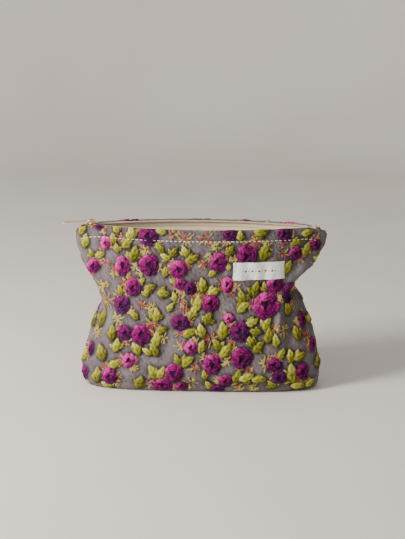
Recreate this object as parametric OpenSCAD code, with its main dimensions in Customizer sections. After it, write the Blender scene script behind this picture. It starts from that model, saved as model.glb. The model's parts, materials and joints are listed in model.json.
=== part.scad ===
// Zipped makeup bag in flowered jacquard cloth: wadded and lined walls on an
// oval base, a coil zip in the mouth and a woven label on the front.
// +X to the right along the zip, +Y to the back, origin at the middle of the base.

/* [Bag] */
// Height from the base to the mouth's rim
bag_h = 156; // [140:1:170]
// Width of the mouth, between the two ears
mouth_w = 241; // [225:1:255]
// Half the front-to-back opening of the mouth
mouth_half_depth = 28; // [24:1:32]
// Width of the base
base_w = 228; // [215:1:240]
// Half the front-to-back depth of the base
base_half_depth = 36; // [32:1:40]
// How far the two ears hang below the rim
ear_drop = 7; // [0:1:9]
// Radius where the walls turn under the base
corner_r = 6; // [5:0.5:8]

/* [Cloth layers] */
// Thickness of the outer jacquard
jacquard_t = 1.2; // [0.8:0.1:1.3]
// Thickness of the wadding
wadding_t = 1.1; // [0.8:0.1:1.2]
// Thickness of the zip tape
tape_t = 0.5; // [0.4:0.1:0.6]
// Thickness of the lining
lining_t = 0.6; // [0.4:0.1:0.8]

/* [Zip] */
// Half the length of the zip between its stops
zip_half_len = 108; // [104:1:110]
// How far the tape hangs below the rim
tape_drop = 14; // [12:1:18]
// Radius of each coil of teeth
coil_r = 0.95; // [0.8:0.05:1.1]
// Length of the slider
slider_len = 9; // [8:0.5:11]
// Width of the slider
slider_w = 7.6; // [7:0.2:9]
// Length of the pull from its pin to its tip
pull_len = 29; // [24:1:34]
// Width of the pull at its tip
pull_w = 7; // [5:0.5:9]
// Thickness of the pull
pull_t = 0.9; // [0.8:0.1:1.2]
// How far the pull droops when it lies towards the left ear
pull_droop = 5.5; // [0:0.5:6]

/* [Label and stitching] */
// Width of the woven label
label_w = 50; // [30:1:60]
// Height of the woven label
label_h = 17.5; // [12:0.5:20]
// Place of the label's middle along X
label_x = 54.5; // [30:0.5:60]
// Height of the label's middle
label_z = 119; // [110:0.5:124]
// How far below the rim the topstitch runs
stitch_drop = 10; // [8:0.5:12]

/* [Hidden] */

layer_gap = 0.1;
tape_gap = 0.3;    // between the wadding and the zip tape
// Depth of each layer's outer face below the bag's own outer face
wadding_s = jacquard_t + layer_gap;
tape_s = wadding_s + wadding_t + tape_gap;
lining_s = tape_s + tape_t + layer_gap;
inner_s = lining_s + lining_t;
coil_s = inner_s + coil_r + layer_gap;
seam_half_gap = 0.3;
base_gap = 0.8;
edge_steps = 24;   // facets along half of the outline
wall_steps = 16;   // rings up the wall
turn_steps = 3;    // rings round the turn under the base
base_steps = 40;   // facets along half of the base's outline
rim_steps = 40;    // pieces of a thread along the rim
ear_from = 95;     // where the rim starts to fall away towards an ear
shift_span = 45;   // angle over which a layer's free end is taken up
// How far below the rim the wadding and the lining stop, and the angle each leaves
// free beside the side seams
wadding_drop = 2;
wadding_ends = 5;
lining_drop = 5;
lining_ends = 12;

half_mouth = mouth_w / 2;
half_base = base_w / 2;
base_d = base_half_depth;
mouth_d = mouth_half_depth;

// Stations up the wall. Each row holds the height as a share of bag_h, the left and
// right half widths, the half depth, the two exponents that turn a rounded box below
// into the mouth's lens, and how fast an inner layer shortens towards the side seam.
STATIONS = [
    [0.00, half_base - 1, half_base + 1, base_d, 0.60, 0.60, 1.0],
    [0.13, half_base, half_base + 1, base_d + 2, 0.60, 0.60, 1.0],
    [0.32, half_base - 7, half_base - 4, base_d + 2, 0.65, 0.65, 1.0],
    [0.54, half_base - 19, half_base - 17, base_d, 0.75, 0.75, 1.1],
    [0.66, half_base - 13, half_base - 24, base_d - 2, 0.85, 0.85, 1.2],
    [0.78, half_mouth - 8, half_mouth - 15, mouth_d + 4, 0.95, 1.10, 1.6],
    [0.90, half_mouth - 1, half_mouth - 3, mouth_d + 2, 1.00, 1.60, 2.1],
    [1.00, half_mouth, half_mouth, mouth_d, 1.00, 2.00, 2.4]];

// Smooth curve through one column of STATIONS at height share t
function station_below(t, i = 0) =
    i >= len(STATIONS) - 2 || t < STATIONS[i + 1][0] ? i : station_below(t, i + 1);
function slope(i, c) =
    let (a = max(i - 1, 0), b = min(i + 1, len(STATIONS) - 1))
    (STATIONS[b][c] - STATIONS[a][c]) / (STATIONS[b][0] - STATIONS[a][0]);
function shape(t, c) =
    let (i = station_below(t), h = STATIONS[i + 1][0] - STATIONS[i][0],
         u = (t - STATIONS[i][0]) / h, v = 1 - u)
    STATIONS[i][c] * v * v * (1 + 2 * u) + slope(i, c) * h * u * v * v
    + STATIONS[i + 1][c] * u * u * (3 - 2 * u) - slope(i + 1, c) * h * u * u * v;

function half_w(t, right) = shape(t, right ? 2 : 1);
function half_d(t) = shape(t, 3);
function power(v, e) = v <= 0 ? 0 : pow(v, e);

// The rim is level between the stops and falls away towards the ears
function rim_z(x) =
    bag_h - ear_drop * pow(max(0, abs(x) - ear_from) / (half_mouth - ear_from), 2);

// Point of the back half at angle a (0 right seam, 180 left seam), height share t,
// on the surface s below the outer face and inset by a further amount
function wall_xy(a, t, inset) =
    let (right = a < 90, k = shape(t, 6),
         x = (half_w(t, right) - k * inset) * power(abs(cos(a)), shape(t, 4)),
         d = half_d(t) - inset)
    [right ? x : -x, seam_half_gap + (d - seam_half_gap) * power(sin(a), shape(t, 5))];
function wall_point(a, t, s) =
    let (p = wall_xy(a, t, s))
    [p.x, p.y, corner_r + (rim_z(p.x) - corner_r) * t];
function turn_point(a, u, s) =
    let (p = wall_xy(a, 0, corner_r - (corner_r - s) * sin(u)))
    [p.x, p.y, corner_r - (corner_r - s) * cos(u)];
// Height share that lies drop below the rim
function share_below_rim(drop) = 1 - drop / (bag_h - corner_r);

// Closed sheet between two grids of the same size
module sheet(outer, inner) {
    rows = len(outer);
    cols = len(outer[0]);
    n = rows * cols;
    points = concat([for (r = outer) each r], [for (r = inner) each r]);
    function at(r, c, side) = side * n + r * cols + c;
    function quad(p, q, r, s) = [[p, q, r], [p, r, s]];
    faces = [
        for (r = [0 : rows - 2], c = [0 : cols - 2]) each concat(
            quad(at(r, c, 0), at(r + 1, c, 0), at(r + 1, c + 1, 0), at(r, c + 1, 0)),
            quad(at(r, c, 1), at(r, c + 1, 1), at(r + 1, c + 1, 1), at(r + 1, c, 1))),
        for (c = [0 : cols - 2]) each concat(
            quad(at(0, c, 1), at(0, c, 0), at(0, c + 1, 0), at(0, c + 1, 1)),
            quad(at(rows - 1, c, 0), at(rows - 1, c, 1),
                 at(rows - 1, c + 1, 1), at(rows - 1, c + 1, 0))),
        for (r = [0 : rows - 2]) each concat(
            quad(at(r, 0, 0), at(r, 0, 1), at(r + 1, 0, 1), at(r + 1, 0, 0)),
            quad(at(r + 1, cols - 1, 0), at(r + 1, cols - 1, 1),
                 at(r, cols - 1, 1), at(r, cols - 1, 0)))];
    polyhedron(points, faces);
}

// Angle of column c when a layer stops e degrees short of each side seam. Every layer
// shares the middle columns, so that their facets stay parallel.
function layer_angle(c, e) =
    let (a = 180 * c / edge_steps, m = min(a, 180 - a),
         shift = e * pow(max(0, 1 - m / shift_span), 2))
    a < 90 ? a + shift : a - shift;

// Back half of one wall layer, from the base's edge up to drop below the rim.
// ends is the angle left free at each side seam at the rim, and less lower down.
module wall_layer(s, t, drop = 0, ends = 0) {
    function angle(c, share) = layer_angle(c, ends * pow(share, 6));
    function grid(depth) = [
        for (r = [0 : turn_steps - 1])
            [for (c = [0 : edge_steps]) turn_point(angle(c, 0), 90 * r / turn_steps, depth)],
        for (r = [0 : wall_steps])
            let (share = r == wall_steps ? share_below_rim(drop) : r / wall_steps)
            [for (c = [0 : edge_steps]) wall_point(angle(c, share), share, depth)]];
    sheet(grid(s), grid(s + t));
}

module base_outline(inset) {
    half = [for (c = [0 : base_steps]) wall_xy(180 * c / base_steps, 0, inset)];
    polygon(concat(half, [for (c = [base_steps : -1 : 0]) [half[c].x, -half[c].y]]));
}

module base_layer(s, t) {
    translate([0, 0, s]) linear_extrude(t) base_outline(corner_r + base_gap);
}

// Thin thread or coil that follows the rim, drop below it
module rim_thread(s, drop, r, reach, sides) {
    t = share_below_rim(drop);
    function centre(i) =
        let (x = reach * cos(180 * i / rim_steps),
             w = half_w(t, x >= 0) - shape(t, 6) * s,
             a = acos(max(-1, min(1, x / w))))
        wall_point(a, t, s);
    rings = [for (i = [0 : rim_steps]) [for (k = [0 : sides - 1])
        let (f = 360 * k / sides + 180 / sides, p = centre(i))
        p + [0, r * cos(f), r * sin(f)]]];
    points = concat([for (q = rings) each q]);
    faces = [
        [for (k = [0 : sides - 1]) k],
        [for (k = [sides - 1 : -1 : 0]) rim_steps * sides + k],
        for (i = [0 : rim_steps - 1], k = [0 : sides - 1])
            let (a = i * sides + k, b = i * sides + (k + 1) % sides)
            each [[a, a + sides, b], [b, a + sides, b + sides]]];
    polyhedron(points, faces);
}

// Upright seam thread in the slit between the front and back halves
seam_half_t = 0.2;
seam_s = 0.4;
seam_drop = 1;
module side_seam(right) {
    function edge(s, y) = [
        for (r = [0 : wall_steps])
            let (t = r / wall_steps, p = wall_point(right ? 0 : 180, t, s))
            [p.x, y, p.z - (r == wall_steps ? seam_drop : 0)]];
    function rows(s) = [edge(s, seam_half_t), edge(s, -seam_half_t)];
    if (right) sheet(rows(seam_s), rows(inner_s)); else sheet(rows(inner_s), rows(seam_s));
}

module jacquard_wall() color([0.45, 0.40, 0.45]) wall_layer(0, jacquard_t);
module wadding_wall() color("white")
    wall_layer(wadding_s, wadding_t, wadding_drop, wadding_ends);
module lining_wall() color([0.90, 0.85, 0.75])
    wall_layer(lining_s, lining_t, lining_drop, lining_ends);

module front_outer_panel() mirror([0, 1, 0]) jacquard_wall();
module back_outer_panel() jacquard_wall();
module front_wadding() mirror([0, 1, 0]) wadding_wall();
module back_wadding() wadding_wall();
module front_lining() mirror([0, 1, 0]) lining_wall();
module back_lining() lining_wall();

module base_outer_panel() color([0.45, 0.40, 0.45]) base_layer(0, jacquard_t);
module base_wadding() color("white") base_layer(wadding_s, wadding_t);
module base_stiffener() color("gainsboro") base_layer(tape_s, tape_t);
module base_lining() color([0.90, 0.85, 0.75]) base_layer(lining_s, lining_t);

module left_side_seam() color([0.35, 0.30, 0.36]) side_seam(false);
module right_side_seam() color([0.35, 0.30, 0.36]) side_seam(true);
base_seam_play = 0.2;
base_seam_z = 0.3;
module base_seam() color([0.35, 0.30, 0.36])
    translate([0, 0, base_seam_z]) linear_extrude(inner_s - base_seam_z) difference() {
        base_outline(corner_r + base_seam_play);
        base_outline(corner_r + base_gap - base_seam_play);
    }

// The topstitch lies on the jacquard
thread_r = 0.3;
thread_gap = 0.05;
stitch_end = 9;    // from the ear to the row's first stitch
module topstitch() color([0.93, 0.89, 0.80])
    rim_thread(-thread_r - thread_gap, stitch_drop, thread_r, half_mouth - stitch_end, 4);
module front_topstitch() mirror([0, 1, 0]) topstitch();
module back_topstitch() topstitch();

// The tape is sewn between the wadding and the lining and stands up to the rim. Its
// ends stop clear of the slider's plates.
zip_drop = 0.3;
tape_end = 4;
module zip_tape() {
    shares = [share_below_rim(tape_drop), 1 - 1 / wall_steps, share_below_rim(zip_drop)];
    ends = acos((zip_half_len - tape_end) / (half_mouth - shape(1, 6) * tape_s));
    function grid(s) = [for (t = shares)
        [for (c = [0 : edge_steps]) wall_point(layer_angle(c, ends), t, s)]];
    color([0.92, 0.88, 0.78]) sheet(grid(tape_s), grid(tape_s + tape_t));
}
coil_end = 7;      // from a stop to the coil's cut end
module zip_coil() color([0.95, 0.92, 0.84])
    rim_thread(coil_s, zip_drop, coil_r, zip_half_len - coil_end, 8);
module front_zip_tape() mirror([0, 1, 0]) zip_tape();
module back_zip_tape() zip_tape();
module front_zip_coil() mirror([0, 1, 0]) zip_coil();
module back_zip_coil() zip_coil();

zip_z = bag_h - zip_drop;
stop_gap = 0.4;
// Middle of the slider when it rests against the bottom stop
slider_x = -zip_half_len + slider_len / 2 + stop_gap;

// Crimped metal stops that bridge the two tapes at the ends of the zip
stop_r = coil_r + 0.1;
stop_w = 7;
module zip_stop(x) translate([x, 0, zip_z]) rotate([90, 0, 0])
    cylinder(h = stop_w, r = stop_r, center = true, $fn = 24);
module zip_bottom_stop() color("gold") zip_stop(-zip_half_len - stop_r - 0.1);
module zip_top_stop() color("gold") zip_stop(zip_half_len + stop_r + 0.1);

plate_t = 1;
channel = 2 * coil_r + 0.5;
nose_r = 2.2;
heel_r = 1;
wedge_r = 0.9;
pin_r = 0.7;
pin_play = 0.07;
crown_r = 1.5;
crown_w = 2;
crown_foot = 0.2;
pin_x = slider_x - 1.5;
pin_z = zip_z + channel / 2 + plate_t + crown_r + crown_foot;

module slider_plate() linear_extrude(plate_t) hull() {
    translate([slider_len / 2 - nose_r, 0]) circle(r = nose_r, $fn = 32);
    for (side = [-1, 1])
        translate([-slider_len / 2 + heel_r, side * (slider_w / 2 - heel_r)])
            circle(r = heel_r, $fn = 32);
    translate([1, 0]) square([1, slider_w], center = true);
}
module slider_body() color("gold") translate([slider_x, 0, zip_z]) {
    translate([0, 0, channel / 2]) slider_plate();
    translate([0, 0, -channel / 2 - plate_t]) slider_plate();
    translate([slider_len / 2 - nose_r, 0, -channel / 2])
        cylinder(h = channel, r = wedge_r, $fn = 32);
}
module slider_crown() color("gold") {
    difference() {
        union() {
            translate([pin_x, 0, pin_z]) rotate([90, 0, 0])
                cylinder(h = crown_w, r = crown_r, center = true, $fn = 48);
            translate([pin_x - crown_r, -crown_w / 2, pin_z - crown_r - crown_foot])
                cube([2 * crown_r, crown_w, crown_r + crown_foot]);
        }
        translate([pin_x, 0, pin_z]) rotate([90, 0, 0])
            cylinder(h = crown_w + 2, r = pin_r + pin_play, center = true, $fn = 48);
    }
}

fork_gap = 0.35;
fork_t = 0.9;
fork_len = 5;
fork_eye_r = 1.2;
module pull_tab() color([0.90, 0.80, 0.55])
    translate([pin_x, 0, pin_z]) rotate([0, -pull_droop, 0]) {
        rotate([90, 0, 0])
            cylinder(h = crown_w + 2 * (fork_gap + fork_t), r = pin_r, center = true, $fn = 48);
        for (side = [-1, 1]) translate([0, side * (crown_w / 2 + fork_gap + fork_t / 2), 0]) {
            rotate([90, 0, 0]) cylinder(h = fork_t, r = fork_eye_r, center = true, $fn = 48);
            translate([-fork_len, -fork_t / 2, -pull_t / 2]) cube([fork_len, fork_t, pull_t]);
        }
        translate([0, 0, -pull_t / 2]) linear_extrude(pull_t) hull() {
            translate([-pull_len + pull_w / 2, 0]) circle(d = pull_w, $fn = 32);
            translate([-fork_len + 1, 0])
                square([1, crown_w + 2 * (fork_gap + fork_t)], center = true);
        }
    }

// The label is a thin ribbon that follows the front wall
function front_y(x, z, s) =
    let (t = (z - corner_r) / (bag_h - corner_r),
         w = half_w(t, x >= 0) - shape(t, 6) * s,
         c = pow(abs(x) / w, 1 / shape(t, 4)),
         a = acos(min(1, c)))
    -wall_xy(a, t, s).y;
label_lift = 0.15;
label_t = 0.4;
module brand_label() {
    function grid(s) = [for (j = [0 : 3]) [for (i = [0 : 10])
        let (x = label_x + label_w * (i / 10 - 0.5), z = label_z + label_h * (j / 3 - 0.5))
        [x, front_y(x, z, 0) - s, z]]];
    color("white") sheet(grid(label_lift), grid(label_lift + label_t));
}
// Short upright stitches hold the label's two ends
label_stitch_w = 0.4;
label_stitch_h = 2;
label_stitch_pitch = 3.2;
label_stitch_inset = 2;
label_stitch_lift = 0.9;
module label_stitches() color([0.95, 0.93, 0.88])
    for (side = [-1, 1], k = [-2 : 2])
        let (x = label_x + side * (label_w / 2 - label_stitch_inset),
             z = label_z + label_stitch_pitch * k)
        translate([x, front_y(x, z, 0) - label_stitch_lift, z])
            cube([label_stitch_w, label_stitch_w, label_stitch_h], center = true);

front_outer_panel();
back_outer_panel();
base_outer_panel();
front_wadding();
back_wadding();
base_wadding();
base_stiffener();
front_lining();
back_lining();
base_lining();
left_side_seam();
right_side_seam();
base_seam();
front_topstitch();
back_topstitch();
front_zip_tape();
back_zip_tape();
front_zip_coil();
back_zip_coil();
zip_bottom_stop();
zip_top_stop();
slider_body();
slider_crown();
pull_tab();
brand_label();
label_stitches();
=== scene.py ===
"""Flowered makeup bag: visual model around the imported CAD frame."""

import json
import math

import bpy
import bmesh
import numpy as np
from mathutils import Matrix, Vector


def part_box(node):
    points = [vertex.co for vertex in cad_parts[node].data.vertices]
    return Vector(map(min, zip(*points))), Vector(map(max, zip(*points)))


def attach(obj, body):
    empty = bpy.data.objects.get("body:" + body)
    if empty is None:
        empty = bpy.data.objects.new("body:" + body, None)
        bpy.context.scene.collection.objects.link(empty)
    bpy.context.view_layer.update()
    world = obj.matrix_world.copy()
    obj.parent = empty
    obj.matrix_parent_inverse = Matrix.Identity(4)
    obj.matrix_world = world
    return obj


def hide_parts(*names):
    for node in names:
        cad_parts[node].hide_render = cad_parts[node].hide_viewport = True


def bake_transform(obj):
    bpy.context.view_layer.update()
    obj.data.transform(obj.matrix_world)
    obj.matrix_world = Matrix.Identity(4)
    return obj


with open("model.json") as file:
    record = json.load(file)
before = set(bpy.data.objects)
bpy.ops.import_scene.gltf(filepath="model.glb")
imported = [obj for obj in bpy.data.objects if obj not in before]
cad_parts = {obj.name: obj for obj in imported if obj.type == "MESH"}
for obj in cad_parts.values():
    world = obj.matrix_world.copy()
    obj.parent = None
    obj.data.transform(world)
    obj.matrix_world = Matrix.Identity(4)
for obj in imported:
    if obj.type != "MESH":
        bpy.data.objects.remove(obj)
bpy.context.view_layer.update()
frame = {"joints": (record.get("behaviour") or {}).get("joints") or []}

MM = 0.001

# ---------------------------------------------------------------- sizes, in millimetres
low, high = (np.array(corner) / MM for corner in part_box("front_outer_panel"))
BAG_H = high[2]
HALF_MOUTH = (high[0] - low[0]) / 2
HALF_BASE = 114.0
BASE_D = 36.0
MOUTH_D = 28.0
EAR_DROP = 7.0
EAR_FROM = 95.0
TURN_R = 6.0
SEAM_GAP = 0.3
TRAVEL = 22.6          # how far each rim moves to close the mouth
CLOSE_FROM = 45.0      # the walls below this height stay put as it closes
COIL_R = 0.95
COIL_PLAY = 0.1
STITCH_DROP = 10.0       # below the rim, like the two layers' top edges
WADDING_DROP = 7.0
LINING_DROP = 7.5

# Depths below the cloth's outer face
WADDING_S, WADDING_T = 1.35, 1.0
TAPE_S, TAPE_T = 2.7, 0.4
LINING_S, LINING_T = 3.3, 0.5
COIL_S = 4.95

# Stations up the wall: height share, left and right half width, half depth, the two
# exponents that turn a rounded box into the mouth's lens, and the seam inset rate.
STATIONS = np.array([
    [0.00, HALF_BASE - 1, HALF_BASE + 1, BASE_D, 0.60, 0.60, 1.0],
    [0.13, HALF_BASE, HALF_BASE + 1, BASE_D + 2, 0.60, 0.60, 1.0],
    [0.32, HALF_BASE - 7, HALF_BASE - 4, BASE_D + 2, 0.65, 0.65, 1.0],
    [0.54, HALF_BASE - 19, HALF_BASE - 17, BASE_D, 0.75, 0.75, 1.1],
    [0.66, HALF_BASE - 13, HALF_BASE - 24, BASE_D - 2, 0.85, 0.85, 1.2],
    [0.78, HALF_MOUTH - 8, HALF_MOUTH - 15, MOUTH_D + 4, 0.95, 1.10, 1.6],
    [0.90, HALF_MOUTH - 1, HALF_MOUTH - 3, MOUTH_D + 2, 1.00, 1.60, 2.1],
    [1.00, HALF_MOUTH, HALF_MOUTH, MOUTH_D, 1.00, 2.00, 2.4],
])
LEFT_W, RIGHT_W, DEPTH, EX, EY, INSET = range(1, 7)


def smooth(a, b, v):
    """Smooth step from 0 at a to 1 at b."""
    u = np.clip((v - a) / (b - a), 0, 1)
    return u * u * (3 - 2 * u)


def station(t, column):
    """Smooth curve through one column of STATIONS."""
    t = np.asarray(t, float)
    keys, vals = STATIONS[:, 0], STATIONS[:, column]
    last = len(keys) - 1
    i = np.clip(np.searchsorted(keys, t, side="right") - 1, 0, last - 1)

    def slope(k):
        a, b = np.maximum(k - 1, 0), np.minimum(k + 1, last)
        return (vals[b] - vals[a]) / (keys[b] - keys[a])

    h = keys[i + 1] - keys[i]
    u = (t - keys[i]) / h
    v = 1 - u
    return (vals[i] * v * v * (1 + 2 * u) + slope(i) * h * u * v * v
            + vals[i + 1] * u * u * (3 - 2 * u) - slope(i + 1) * h * u * u * v)


def mouth_half(inset):
    """Half length of the mouth's curve at a depth inside the cloth's face."""
    return HALF_MOUTH - 2.4 * inset


def rim_z(x):
    """Height of the rim: level, with both ears hanging a little."""
    over = np.maximum(0, np.abs(x) - EAR_FROM) / (HALF_MOUTH - EAR_FROM)
    return BAG_H - EAR_DROP * over ** 2


def outline(t, inset, count=721):
    """Points of the back half's outline at height share t, right seam to left seam."""
    a = np.linspace(0, math.pi, count)
    wide = np.where(a < math.pi / 2, station(t, RIGHT_W), station(t, LEFT_W))
    wide = wide - station(t, INSET) * inset
    x = np.sign(np.cos(a)) * wide * np.abs(np.cos(a)) ** station(t, EX)
    deep = station(t, DEPTH) - inset - SEAM_GAP
    y = SEAM_GAP + deep * np.maximum(np.sin(a), 0) ** station(t, EY)
    return x, y


def wall_row(t, inset, fractions):
    """x, y and arc length from the middle, at even fractions of the half outline."""
    x, y = outline(t, inset)
    steps = np.hypot(np.diff(x), np.diff(y))
    length = np.concatenate([[0], np.cumsum(steps)])
    middle = length[len(length) // 2]
    target = np.where(fractions < 0, middle * (1 + fractions),
                      middle + (length[-1] - middle) * fractions)
    return (np.interp(target, length, x), np.interp(target, length, y),
            middle - target)


def wall_grid(cols, shares, depth, turn=0, side=-1, ends=0.0):
    """Grid of wall points on the surface depth below the cloth's face.

    Rows run from the turn under the base up to the last share. side is -1 for the
    front and 1 for the back. Returns points, and the cloth's own u and v.
    """
    fractions = np.linspace(ends - 1, 1 - ends, cols)
    xs, ys, zs, us, vs = [], [], [], [], []
    for k in range(turn):
        a = 0.5 * math.pi * k / turn
        inset = TURN_R - (TURN_R - depth) * math.sin(a)
        x, y, u = wall_row(0.0, inset, fractions)
        xs.append(x)
        ys.append(y)
        us.append(u)
        zs.append(np.full(cols, TURN_R - (TURN_R - depth) * math.cos(a)))
        vs.append(np.full(cols, TURN_R * (a - 0.5 * math.pi) + TURN_R))
    for t in shares:
        x, y, u = wall_row(t, depth, fractions)
        xs.append(x)
        ys.append(y)
        us.append(u)
        z = TURN_R + (rim_z(x) - TURN_R) * t
        zs.append(z)
        vs.append(z)
    points = np.stack([np.array(xs), side * np.array(ys), np.array(zs)], -1)
    return points, np.array(us), np.array(vs)


def grid_normals(points, side):
    """Outward direction at each point of a wall grid."""
    du = np.gradient(points, axis=1)
    dv = np.gradient(points, axis=0)
    n = np.cross(dv, du)
    n /= np.maximum(np.linalg.norm(n, axis=-1, keepdims=True), 1e-9)
    middle = n[n.shape[0] // 2, n.shape[1] // 2]
    return n if middle[1] * side > 0 else -n


def close_weight(points):
    """Share of the rim's travel that a wall point takes as the mouth closes."""
    x, z = points[..., 0], points[..., 2]
    across = np.maximum(0, 1 - (x / mouth_half(COIL_S)) ** 2)
    top = (across * (MOUTH_D - COIL_S) - (COIL_R + COIL_PLAY) + SEAM_GAP) / TRAVEL
    share = np.clip((z - CLOSE_FROM) / (BAG_H - CLOSE_FROM), 0, 1)
    return np.maximum(top, 0) * share ** 1.6


# ---------------------------------------------------------------- mesh helpers
def sided(side, name):
    """A name with the wall it belongs to in front: side is -1 for front, 1 for back."""
    return ("front_" if side < 0 else "back_") + name


def collection_link(obj):
    """Put an object in the scene and hand it back."""
    bpy.context.scene.collection.objects.link(obj)
    return obj


def grid_faces(rows, cols, flip, closed=False):
    """Quads of a grid of points. closed joins the last column to the first."""
    r = np.arange(rows - 1)[:, None]
    c = np.arange(cols if closed else cols - 1)[None, :]
    nxt = (c + 1) % cols
    quads = np.stack(np.broadcast_arrays(
        r * cols + c, r * cols + nxt, (r + 1) * cols + nxt, (r + 1) * cols + c), -1)
    quads = quads.reshape(-1, 4)
    return quads[:, ::-1] if flip else quads


def mesh_object(name, verts, quads, attributes=None, material=None):
    """Mesh of quads from arrays in millimetres."""
    verts = np.asarray(verts, float).reshape(-1, 3) * MM
    quads = np.asarray(quads, np.int32)
    mesh = bpy.data.meshes.new(name)
    mesh.vertices.add(len(verts))
    mesh.vertices.foreach_set("co", verts.astype(np.float32).ravel())
    mesh.loops.add(quads.size)
    mesh.loops.foreach_set("vertex_index", quads.ravel())
    mesh.polygons.add(len(quads))
    mesh.polygons.foreach_set("loop_start", np.arange(0, quads.size, 4, dtype=np.int32))
    mesh.polygons.foreach_set("use_smooth", np.ones(len(quads), bool))
    mesh.update(calc_edges=True)
    mesh.validate()
    for key, values in (attributes or {}).items():
        values = np.asarray(values, np.float32)
        kind, slot = ("FLOAT_VECTOR", "vector") if values.ndim == 2 else ("FLOAT", "value")
        mesh.attributes.new(key, kind, "POINT").data.foreach_set(slot, values.ravel())
    obj = bpy.data.objects.new(name, mesh)
    if material:
        mesh.materials.append(material)
    return collection_link(obj)


def blend_rim(obj, weights):
    """Bake a soft piece's placement into its mesh; the weights are not used."""
    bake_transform(obj)
    return obj


# ---------------------------------------------------------------- the jacquard's motifs
# Listed in millimetres across the front from its middle and up from the base.
# Roses: x, z, radius, tone (0 magenta to 1 dark purple, below 0 pink), stretch upwards.
ROSES = [
    (-98, 158, 6, 0.9, 1.0), (-49, 150, 10, 0.7, 1.0), (-49, 123, 11, 0.3, 1.0),
    (-75, 121, 8, 0.0, 1.3), (-64, 101, 8.5, 0.2, 1.1), (-20, 120, 9, 0.05, 1.0),
    (-18, 106, 6, 0.3, 1.0), (-9, 102, 6.5, 0.85, 1.0), (-92, 141, 6, -0.4, 1.2),
    (-106, 118, 7, 0.0, 1.0), (-76, 84, 9, 0.8, 1.0), (17, 127, 9, 0.1, 1.1),
    (44, 133, 11, 0.4, 1.0), (27, 153, 7, 0.85, 1.0), (80, 152, 8, 0.85, 1.0),
    (92, 133, 7, 0.2, 1.0), (26, 106, 6, -0.3, 1.4), (72, 105, 9, 0.05, 1.0),
    (63, 86, 14, 0.0, 1.0), (10, 88, 9, 0.1, 1.0), (88, 96, 10, 1.0, 1.0),
    (-18, 69, 9.5, 0.75, 0.9), (-71, 57, 8.5, 0.7, 0.9), (-56, 56, 10, 0.2, 1.1),
    (-68, 31, 7.5, -0.3, 1.0), (-86, 15, 9, 0.25, 1.0), (-24, 21, 9.5, 0.2, 1.0),
    (-35, 8, 11, 0.15, 0.8), (-17, 7, 7, 0.1, 0.8), (-112, 38, 7, 0.5, 1.1),
    (-118, 12, 8, 0.5, 1.0), (-8, 46, 7, -0.2, 1.0), (12, 30, 9.5, 0.1, 1.1),
    (25, 14, 7.5, 0.2, 1.0), (38, 61, 10.5, 0.8, 1.0), (40, 36, 11, 0.3, 1.0),
    (28, 74, 5.5, -0.4, 1.0), (72, 28, 8.5, 0.3, 0.85), (76, 17, 8, 0.95, 0.9),
    (101, 20, 8, 0.3, 1.1), (104, 70, 7, 0.7, 1.1), (118, 44, 7, 0.3, 1.1),
    (17, 4, 7, 1.0, 0.8), (122, 110, 8, 0.3, 1.0), (-122, 92, 8, 0.2, 1.0),
    (112, 140, 6, 0.4, 1.0),
]
# Leaves: x, z of the middle, length, direction in degrees.
LEAVES = [
    (-116, 152, 12, 50), (-108, 130, 8, 120), (-98, 129, 10, 20), (-113, 141, 13, 75),
    (-81, 156, 11, 110), (-66, 152, 13, 80), (-69, 143, 13, 55), (-83, 146, 10, 100),
    (-63, 133, 14, 75), (-80, 137, 9, 95), (-38, 139, 11, 120), (-33, 131, 10, 150),
    (-37, 155, 10, 170), (-25, 136, 10, 60), (-14, 137, 10, 110), (-7, 130, 13, 20),
    (-33, 117, 10, 90), (-56, 107, 9, 60), (-47, 102, 11, 15), (-51, 97, 9, 80),
    (-34, 97, 12, 0), (-78, 97, 10, 100), (-24, 94, 9, 100), (28, 138, 10, 60),
    (37, 152, 10, 90), (58, 155, 14, 10), (60, 135, 15, 80), (93, 144, 10, 0),
    (103, 136, 13, 80), (85, 120, 13, 60), (3, 105, 14, 95), (13, 99, 13, 30),
    (-2, 88, 14, 80), (40, 94, 13, 110), (53, 101, 14, 85), (62, 103, 9, 100),
    (41, 85, 13, 35), (116, 128, 11, 80), (103, 152, 11, 10), (12, 117, 9, 30),
    (-6, 80, 12, 60), (-41, 76, 13, 80), (-63, 75, 11, 130), (-85, 57, 14, 95),
    (-80, 45, 13, 80), (-36, 62, 11, 20), (-41, 52, 14, 80), (-43, 42, 13, 110),
    (-60, 44, 14, 110), (-50, 40, 10, 140), (-81, 27, 12, 20), (-97, 36, 16, 105),
    (-100, 14, 15, 90), (-57, 11, 14, 60), (-44, 21, 13, 130), (-36, 21, 11, 60),
    (-21, 34, 10, 120), (-11, 33, 13, 40), (-102, 70, 17, 85), (-89, 4, 12, 160),
    (-9, 60, 13, 20), (8, 74, 12, 70), (2, 62, 13, 100), (2, 47, 12, 80),
    (22, 62, 16, 85), (17, 48, 12, 110), (25, 43, 14, 60), (50, 70, 12, 20),
    (53, 61, 11, 170), (49, 51, 12, 120), (56, 46, 13, 50), (64, 69, 13, 60),
    (66, 57, 14, 80), (73, 52, 12, 100), (36, 19, 12, 60), (45, 18, 13, 20),
    (57, 16, 13, 10), (69, 10, 11, 130), (88, 36, 13, 100), (98, 36, 13, 20),
    (89, 20, 16, 90), (95, 7, 13, 0), (108, 8, 11, 30), (95, 58, 14, 110),
    (88, 82, 12, 80), (79, 39, 11, 60), (5, 20, 9, 100), (9, 9, 10, 120),
    (-109, 92, 15, 95), (-119, 64, 14, 80), (-122, 30, 13, 100), (113, 92, 13, 100),
    (122, 70, 13, 80), (124, 26, 13, 90), (-122, 120, 12, 70), (-28, 84, 9, 60),
]
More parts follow.
